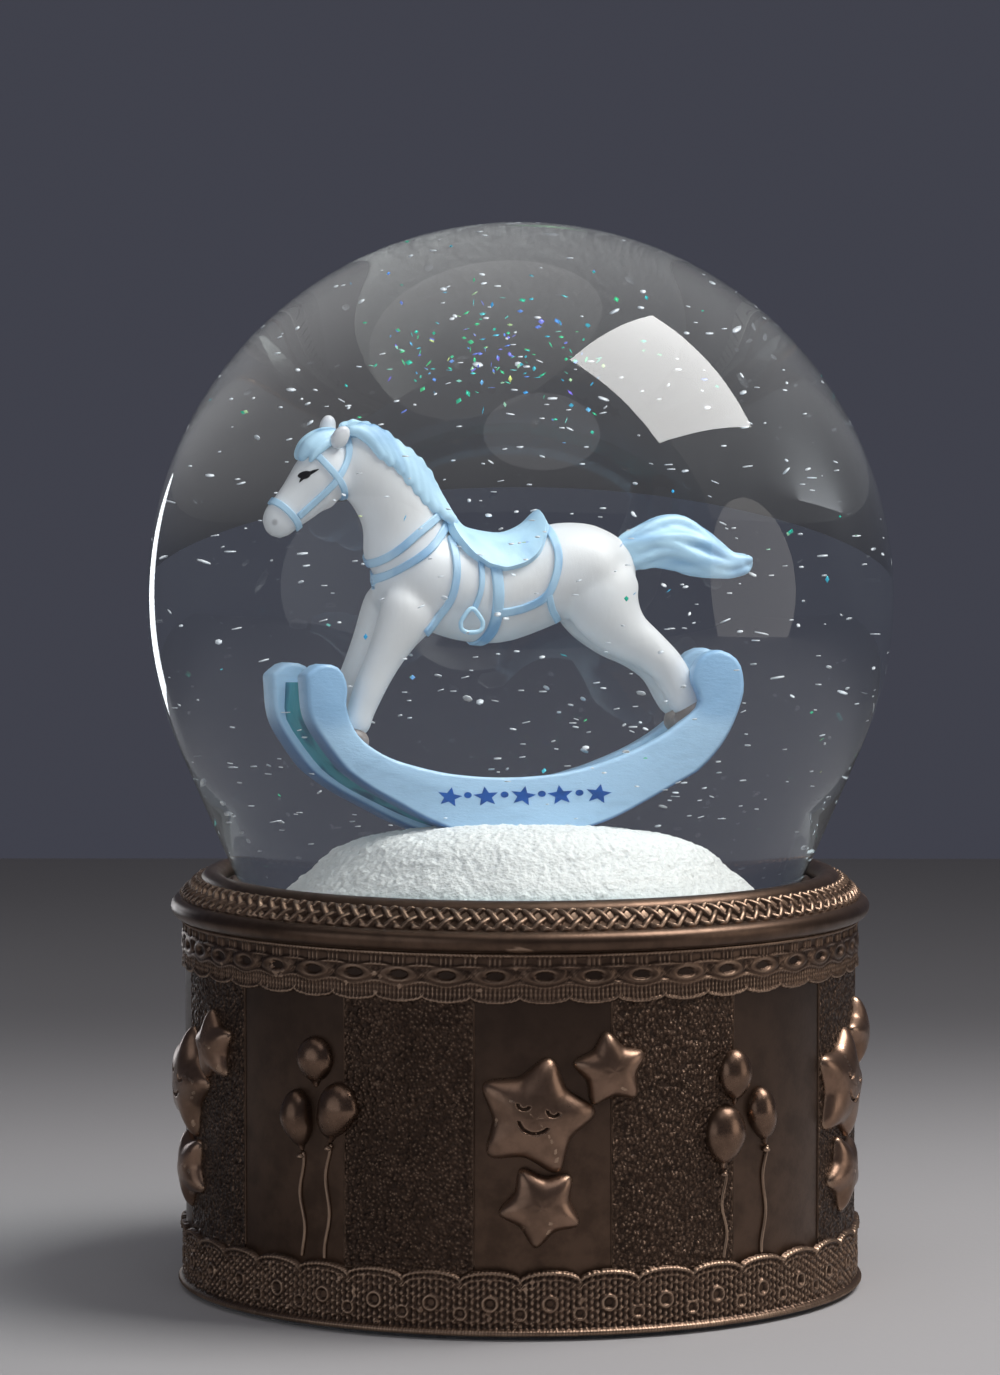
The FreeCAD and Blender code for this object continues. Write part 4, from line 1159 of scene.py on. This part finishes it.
class GLOBE_OT_drum(bpy.types.Operator):
    """Casts the drum with its lip, bead, woven slope and lace bands"""
    bl_idname = "globe.drum"
    bl_label = "Drum"

    def execute(self, context):
        size = base()
        drum, foot = size.drum_r / MM, size.foot_z / MM
        lip, lip_z = size.lip_r / MM, size.lip_z / MM
        smooth = bronze_finish("bronze_smooth", 0.52, 0.60, rough=0.34, grain=0.3, lift=0.8)
        bead = arc((41.35, 54.35), 1.6, -10, 190, 14)
        outline = (
            [(41.0, foot), (drum - 0.3, foot), (drum, foot + 0.3), (drum, lip_z - lip - 0.1)]
            + arc((drum + 0.5, lip_z), lip, -90, 90, 14)
            + [(drum + 0.2, 52.55), (43.2, 54.7), (43.0, 54.2)] + bead
            + [(39.5, 54.0), (38.6, 54.7), (38.2, 54.6), (37.6, 54.0), (37.6, 42.0), (22.0, 42.0),
               (22.0, 39.0), (41.0, 39.0), (41.0, foot)])
        cast(turned(outline, 288), "drum_shell", smooth, ["base_drum"], 50)
        self.bosses(smooth)
        lace = bronze_finish("bronze_lace", 0.50, 0.575, rough=0.38, grain=0.6)
        self.weave(drum, lace)
        self.upper_lace(drum, lace)
        self.lower_lace(drum, lace)
        return {"FINISHED"}

    def bosses(self, paint):
        """Three hollow posts inside, which take the cover's screws."""
        bore, outer, foot, top, circle = 1.2, 4.0, 15.0, 39.2, 36.5
        posts = []
        for deg in (60, 180, 300):
            post = turned([(bore, foot), (outer, foot), (outer, top), (bore, top), (bore, foot)], 32)
            turn = math.radians(deg)
            reshape(post, points_of(post) / MM + (circle * math.cos(turn), circle * math.sin(turn), 0))
            posts.append(post)
        cast(joined(posts), "screw_posts", paint, (), 40)

    def weave(self, drum, paint):
        """Cords crossing over and under each other on the slope above the lip."""
        rounds, across = 118, 30
        width, pitch, spacing = 3.55, 2.45, 1.68
        cord, lift, gap = 0.38, 0.17, -0.25

        def section(turn, share):
            up = share * width
            a = turn * rounds + up / pitch
            b = turn * rounds - up / pitch
            m, n = np.floor(a), np.floor(b)
            da, db = (a - m - 0.5) * spacing, (b - n - 0.5) * spacing
            over_a = lift * np.cos(np.pi * (b - 0.5)) * np.where(m % 2 == 0, 1, -1)
            over_b = -lift * np.cos(np.pi * (a - 0.5)) * np.where(n % 2 == 0, 1, -1)
            high = np.maximum(
                np.where(np.abs(da) < cord, half_round(da, cord) + over_a, gap),
                np.where(np.abs(db) < cord, half_round(db, cord) + over_b, gap))
            high = np.clip(high, -0.20, None) - 0.18
            rim = np.clip(np.minimum(up, width - up) / 0.25, 0, 1)
            high = high * rim - 0.3 * (1 - rim)
            r = drum + 0.75 - share * 2.75
            z = 52.55 + share * 2.65
            return r + high * 0.72, z + high * 0.69
        cast(ring_band(1712, across, section), "woven_slope", paint)

    def upper_lace(self, drum, paint):
        """Crochet under the lip: cord, slots, wide eyelets and a fringed scallop."""
        cells, top, low = 45, 49.75, 43.0
        pitch = math.tau * drum / cells
        half = pitch / 2
        fringe_gap, eyelet_y = 0.58, 3.05

        def section(turn, share):
            z = low + (top - low) * share
            y = z - top
            x = (turn * cells % 1.0 - 0.5) * pitch
            ax = np.abs(x)
            sway = np.cos(math.tau * x / pitch)
            edge = -(5.75 + 0.75 * np.sqrt(np.clip(1 - (ax / half) ** 2, 0, 1)))
            cord = half_round(y + 0.36, 0.34) * (1 + 0.22 * np.cos(math.tau * (x / 0.52 + y / 0.9)))
            second = half_round(y + 1.95 + 0.10 * sway, 0.24)
            bars = np.zeros_like(x)
            for at in (0.0, 0.62, half, half - 0.62):
                bars = np.maximum(bars, half_round(ax - at, 0.19))
            bars *= (y > -1.95) & (y < -0.4)
            oval = np.sqrt((x / 2.0) ** 2 + ((y + eyelet_y) / 0.86) ** 2)
            rim = half_round((oval - 1.0) * 0.72, 0.30)
            gap = half - ax
            cross = np.maximum(
                half_round(np.abs(y + eyelet_y) - gap * 0.95, 0.17), half_round(gap - 0.62, 0.14))
            cross *= (gap < 1.25) & (y < -1.9) & (y > -4.3)
            under = half_round(y + 4.22 + 0.25 * sway, 0.26)
            strand = x / fringe_gap
            fringe = half_round((strand - np.round(strand)) * fringe_gap, 0.2) * (y < -4.1) * (y > edge)
            fringe *= 1 + 0.2 * np.cos(math.tau * y / 0.6)
            tips = half_round(y - edge - 0.12, 0.27) * (1 + 0.2 * np.cos(math.tau * x / 0.5))
            high = np.maximum.reduce([cord, second, bars, rim, cross, under, fringe, tips])
            ground = np.where(y > edge, 0.10, -0.35)
            ground = np.where(oval < 0.95, -0.02, ground)
            return drum + np.where(high > 0, high * 1.35 + 0.10, ground), z
        cast(ring_band(cells * 36, 40, section), "lace_upper", paint)

    def lower_lace(self, drum, paint):
        """Open crochet round the foot: ribbed cord, beaded threads, ring holes and a corded edge."""
        cells, low, width = 37, 0.45, 9.3
        pitch = math.tau * (drum + 0.5) / cells
        half = pitch / 2
        thread_gap = 0.765

        def section(turn, share):
            z = low + width * share
            x = (turn * cells % 1.0 - 0.5) * pitch
            ax = np.abs(x)
            edge = 7.75 + 1.15 * np.sqrt(np.clip(1 - (ax / half) ** 2, 0, 1))
            lip = half_round(z - edge + 0.25, 0.36) * (1 + 0.18 * np.cos(math.tau * (x / 0.55 - z / 1.2)))
            inner = half_round(z - edge + 1.05, 0.22)
            column = np.round(x / thread_gap)
            threads = half_round((x / thread_gap - column) * thread_gap, 0.24)
            beads = 0.72 + 0.42 * np.cos(math.tau * z / 0.95 + 2.4 * column)
            threads *= beads * (z < edge - 0.4) * (z > 1.3)
            rows = np.zeros_like(x)
            for at, sway in ((2.35, 0.16), (3.9, 0.22), (5.55, 0.24), (6.75, 0.2)):
                rows = np.maximum(rows, half_round(z - at - sway * np.cos(math.tau * x / 1.53 + at), 0.19))
            rows *= z < edge - 0.6
            ring_a = np.hypot(x, z - 4.7)
            ring_b = np.hypot(half - ax, z - 3.4)
            rings = np.maximum(half_round(ring_a - 0.92, 0.30), half_round(ring_b - 0.78, 0.27))
            holes = (ring_a < 0.68) | (ring_b < 0.56)
            foot = half_round(z - 1.0, 0.52) * (1 + 0.12 * np.cos(math.tau * x / 0.42))
            high = np.where(holes, 0, np.maximum.reduce([lip, inner, threads, rows, rings, foot]))
            ground = np.where(z < edge, 0.08, -0.35)
            return drum + np.where(high > 0, high * 1.7 + 0.12, ground), z
        cast(ring_band(cells * 44, 48, section), "lace_lower", paint)


class GLOBE_OT_panels(bpy.types.Operator):
    """Presses the pebbled panels between the smooth ones"""
    bl_idname = "globe.panels"
    bl_label = "Panels"

    def execute(self, context):
        size = base()
        drum = size.drum_r / MM
        count, first, middle, proud, height = 8, -18.75, 26.4, 0.12, 17.9
        width, root = 22.5, 2.2
        paint = bronze_finish(
            "bronze_pebbled", 0.52, 0.62, rough=0.40, grain=0.9, lift=0.30, tone_and_painted_light=0.85, leather=True)
        rib_paint = bronze_finish("bronze_rib", 0.53, 0.66, rough=0.42, grain=0.3, lift=0.15, tone_and_painted_light=0.75)
        model = add("grid", x_subdivisions=72, y_subdivisions=142, size=2.0)
        flat = points_of(model)
        reach = math.radians(width) * drum / 2 - 0.12
        model_flat = np.column_stack([flat[:, 0] * reach, flat[:, 1] * height, np.full(len(flat), proud)])
        lumps = bpy.data.textures.new("pebbles", "VORONOI")
        lumps.noise_scale = 0.00070
        lumps.distance_metric = "DISTANCE_SQUARED"
        clouds = bpy.data.textures.new("pebble_drift", "CLOUDS")
        clouds.noise_scale = 0.0009
        ribs = []
        for n in range(count):
            deg = first + 360.0 / count * n
            panel = model.copy()
            panel.data = model.data.copy()
            bpy.context.scene.collection.objects.link(panel)
            reshape(panel, wrap(model_flat, deg, middle, drum))
            for texture, depth, level in ((lumps, -size.grain, 0.35), (clouds, size.grain * 0.9, 0.5)):
                add_modifier(panel, "DISPLACE", texture=texture, strength=depth, mid_level=level,
                             texture_coords="LOCAL")
            edit(panel)
            bpy.ops.mesh.select_all(action="DESELECT")
            bpy.ops.mesh.select_mode(type="EDGE")
            bpy.ops.mesh.select_non_manifold()
            inwards = Vector((-math.sin(math.radians(deg)), math.cos(math.radians(deg)), 0)) * root * MM
            bpy.ops.mesh.extrude_region_move(TRANSFORM_OT_translate={"value": inwards})
            bpy.ops.mesh.edge_face_add()
            bpy.ops.mesh.select_mode(type="VERT")
            done()
            cast(face_outwards(panel), f"panel_pebbled_{n + 1}", paint, (), 60)
            for edge in (deg - width / 2, deg + width / 2):
                ribs.append(limb([
                    (*on_drum(edge, z, 0.02, drum), 0.12, 0.15) for z in (9.0, 20.0, 32.0, 43.8)],
                    8, 12, (1, 0, 0)))
        bpy.data.objects.remove(model)
        cast(joined(ribs), "panel_ribs", rib_paint)
        return {"FINISHED"}


class GLOBE_OT_stars(bpy.types.Operator):
    """Sets the groups of puffed stars round the drum"""
    bl_idname = "globe.stars"
    bl_label = "Stars"

    def execute(self, context):
        size = base()
        drum, relief = size.drum_r / MM, size.relief / MM
        # Painted light: a tone of 2.2 makes the stars' bronze brighter, as if lit, though they are the same
        # paint as the drum.
        paint = bronze_finish("bronze_relief", 0.505, 0.57, rough=0.30, grain=0.35, lift=0.9, tone_and_painted_light=2.2)
        group_stars = (
            ("big", -1.0, 28.8, 7.8, -14, True), ("small", 11.4, 34.6, 5.0, 7, False),
            ("low", 0.0, 17.3, 5.5, 28, False))
        for group, deg in enumerate((3.4, 70.0, 142.0, 215.0, 286.5)):
            for kind, away, z, reach, turn, smile in group_stars:
                star = self.puffed(reach, turn, relief * (1.35 if smile else 1.15), smile)
                reshape(star, wrap(points_of(star) / MM, deg + away, z, drum))
                cast(star, f"star_{kind}_{group + 1}", paint)
        return {"FINISHED"}

    def outline(self, around):
        """How far a star with rounded tips and notches reaches at each angle; 1 at its tips."""
        inner, sector = 0.62, math.radians(36)
        lookup = np.radians(np.arange(360))
        fold = np.abs((lookup + sector) % (2 * sector) - sector)
        near_x, near_y = inner * math.cos(sector), inner * math.sin(sector)
        line = near_y / (np.cos(fold) * near_y + np.sin(fold) * (1.0 - near_x))
        window = np.hanning(31) / np.hanning(31).sum()
        soft = np.convolve(np.concatenate([line[-20:], line, line[:20]]), window, "same")[20:-20]
        return np.interp(
            around % math.tau, np.append(lookup, math.tau), np.append(soft, soft[0])) / soft.max()

    def puffed(self, reach, turn, height, smile):
        """A swollen five-point star, drawn flat with its front towards +Z."""
        star = add("uv_sphere", segments=180 if smile else 90, ring_count=72 if smile else 40, radius=1.0)
        ball = points_of(star)
        around = np.arctan2(ball[:, 1], ball[:, 0])
        edge = self.outline(around - math.radians(90 + turn))
        ridge = (edge - edge.min()) / (1 - edge.min())
        lean_back = np.arccos(np.clip(ball[:, 2], -1, 1)) / math.pi
        front = lean_back <= 0.75
        share = np.clip(np.where(front, lean_back / 0.75, (1 - lean_back) / 0.25), 0, 1)
        x, y = reach * edge * share * np.cos(around), reach * edge * share * np.sin(around)
        dome = np.clip(1 - share**2.6, 0, 1) ** 0.55
        z = np.where(front, height * dome * (0.90 + 0.10 * (1 - ridge * share)), -0.8)
        z = np.where(front & (share > 0.999), 0.0, z)
        if smile:
            groove = np.zeros(len(x))
            lean = math.radians(turn)
            u = x * math.cos(lean) + y * math.sin(lean)
            v = -x * math.sin(lean) + y * math.cos(lean)
            for middle_u, middle_v, radius, below in (
                    (-1.85, 1.55, 0.75, -0.15), (1.85, 1.55, 0.75, -0.15), (-0.1, 0.1, 2.0, -0.85)):
                ring = np.hypot(u - middle_u, v - middle_v)
                groove = np.maximum(groove, half_round(ring - radius, 0.22) / 0.22 * (v - middle_v < below))
            z = z - 0.42 * groove * front
        reshape(star, np.column_stack([x, y, z]))
        return star


class GLOBE_OT_balloons(bpy.types.Operator):
    """Sets the groups of balloons with their knots and strings round the drum"""
    bl_idname = "globe.balloons"
    bl_label = "Balloons"

    def execute(self, context):
        size = base()
        drum, relief = size.drum_r / MM, size.relief / MM
        # Painted light: a tone of 1.6 makes the balloons' bronze brighter, as if lit.
        paint = bronze_finish(
            "bronze_balloon", 0.515, 0.585, rough=0.27, grain=0.25, lift=0.8, tone_and_painted_light=1.6)
        string_paint = bronze_finish("bronze_string", 0.50, 0.57, rough=0.35, grain=0.4)
        # degrees from the group's middle, height, half width, half height, fullness and lean
        level = (
            (-2.3, 32.9, 2.45, 3.35, 1.0, 0.0), (-4.3, 25.3, 3.0, 3.9, 1.15, 0.05),
            (3.5, 27.4, 2.25, 3.5, 1.0, -0.22))
        risen = (
            (0.4, 35.0, 2.7, 3.0, 1.0, 0.0), (-3.4, 27.2, 2.35, 3.7, 1.15, -0.14),
            (5.1, 28.6, 3.0, 3.7, 1.15, 0.36))
        for group, deg in enumerate((40.0, 106.0, 178.0, 251.0, 324.0)):
            cords = []
            for number, (away, z, wide, tall, proud, lean) in enumerate(risen if group in (1, 4) else level):
                ball = self.balloon(wide, tall, (relief + 0.25) * proud, lean)
                reshape(ball, wrap(points_of(ball) / MM, deg + away, z, drum))
                cast(face_outwards(ball), f"balloon_{group + 1}_{number + 1}", paint)
                if number:
                    knot = deg + away + math.degrees(-lean * (tall + 0.75) / drum)
                    cords += self.string(knot, z - tall - 0.7, number, drum)
            cast(joined(cords), f"balloon_strings_{group + 1}", string_paint)
        return {"FINISHED"}

    def balloon(self, wide, tall, proud, lean):
        """A balloon with its neck, drawn flat with its front towards +Z."""
        ball = add("uv_sphere", segments=48, ring_count=32, radius=1.0)
        shape = points_of(ball)
        taper = 1.0 - 0.20 * np.clip(-shape[:, 2], 0, 1) ** 1.6
        neck = np.clip(-shape[:, 2] - 0.955, 0, 1) / 0.045
        up = shape[:, 2] * tall - neck * 0.75
        reshape(ball, np.column_stack([
            shape[:, 0] * wide * taper + lean * np.minimum(up, 0), up, -shape[:, 1] * proud * taper]))
        return ball

    def string(self, deg, top, number, drum):
        """A swaying string down to the lace, and the knot that ties it."""
        foot, thread = 9.2, (0.22, 0.24)
        drift = 0.4 if number == 1 else -0.6
        stations = []
        for t in np.linspace(0, 1, 12):
            sway = 0.42 * math.sin(t * 9.5 + number) * (1 - 0.3 * t) / drum
            at = deg + math.degrees(sway) + drift * t
            stations.append((*on_drum(at, top + (foot - top) * t, 0.12, drum), *thread))
        tie, tip = on_drum(deg, top - 0.1, 0.25, drum), on_drum(deg, top - 0.9, 0.25, drum)
        knot = ((*tie, 0.35, 0.35), (*((tie + tip) / 2), 0.5, 0.55), (*tip, 0.62, 0.7))
        nearly_x = (1, 0, 0.001)
        return [limb(stations, 10, 60, nearly_x), limb(knot, 14, 10, nearly_x)]


class GLOBE_OT_works(bpy.types.Operator):
    """Finishes the stopper, the underside and the musical movement"""
    bl_idname = "globe.works"
    bl_label = "Underside and movement"

    def execute(self, context):
        finishes = {
            "stopper_rubber": moulded_finish("black_rubber", (0.022, 0.022, 0.024), 0.62),
            "sealant": moulded_finish("clear_sealant", (0.50, 0.49, 0.46), 0.42, 700.0),
            "black_plastic": moulded_finish("black_plastic", (0.018, 0.018, 0.020), 0.45, 1500.0, 0.00008),
            "felt": felt_finish(),
            "zinc_screw": metal_finish("zinc_plate", (0.60, 0.60, 0.57), 0.32, (1, 1, 1), 1500.0),
            "zinc_casting": metal_finish("zinc_casting", (0.42, 0.43, 0.44), 0.52, (1, 1, 1), 1800.0),
            "pressed_steel": metal_finish("pressed_steel", (0.54, 0.54, 0.55), 0.34, (1, 6, 1)),
            "spring_steel": metal_finish("spring_steel", (0.24, 0.26, 0.31), 0.30, (1, 1, 8)),
            "nylon": moulded_finish("nylon", (0.74, 0.71, 0.62), 0.40),
            "brass": metal_finish("brass", (0.70, 0.49, 0.20), 0.26, (6, 1, 1)),
            "nickel": metal_finish("nickel", (0.66, 0.64, 0.60), 0.20, (1, 1, 4)),
        }
        used = 0
        for part in frame["record"]["subparts"]:
            node = frame["nodes"][part["node"]]
            if not node.hide_render and part["material_slot"] in finishes:
                node.data.materials.clear()
                node.data.materials.append(finishes[part["material_slot"]])
                used += 1
        if used == 0:
            raise RuntimeError("no frame part was found to finish")
        return {"FINISHED"}


OPERATORS = (
    GLOBE_OT_stage, GLOBE_OT_glass, GLOBE_OT_snow, GLOBE_OT_rocker, GLOBE_OT_horse, GLOBE_OT_drum,
    GLOBE_OT_panels, GLOBE_OT_stars, GLOBE_OT_balloons, GLOBE_OT_works)


class GLOBE_PT_panel(bpy.types.Panel):
    """Lists the steps that build the snow globe"""
    bl_idname = "GLOBE_PT_panel"
    bl_label = "Snow Globe"
    bl_space_type = "VIEW_3D"
    bl_region_type = "UI"
    bl_category = "Snow Globe"

    def draw(self, context):
        for operator in OPERATORS:
            self.layout.operator(operator.bl_idname)


CLASSES = (GlobeSizes, BaseSizes, GlobeColours, *OPERATORS, GLOBE_PT_panel)


def register():
    for item in CLASSES:
        bpy.utils.register_class(item)
    bpy.types.Scene.globe_sizes = PointerProperty(type=GlobeSizes)
    bpy.types.Scene.globe_base = PointerProperty(type=BaseSizes)
    bpy.types.Scene.globe_colours = PointerProperty(type=GlobeColours)


def unregister():
    del bpy.types.Scene.globe_colours
    del bpy.types.Scene.globe_base
    del bpy.types.Scene.globe_sizes
    for item in reversed(CLASSES):
        bpy.utils.unregister_class(item)


def main():
    register()
    for operator in OPERATORS:
        group, name = operator.bl_idname.split(".")
        getattr(getattr(bpy.ops, group), name)()


if __name__ == "__main__":
    main()
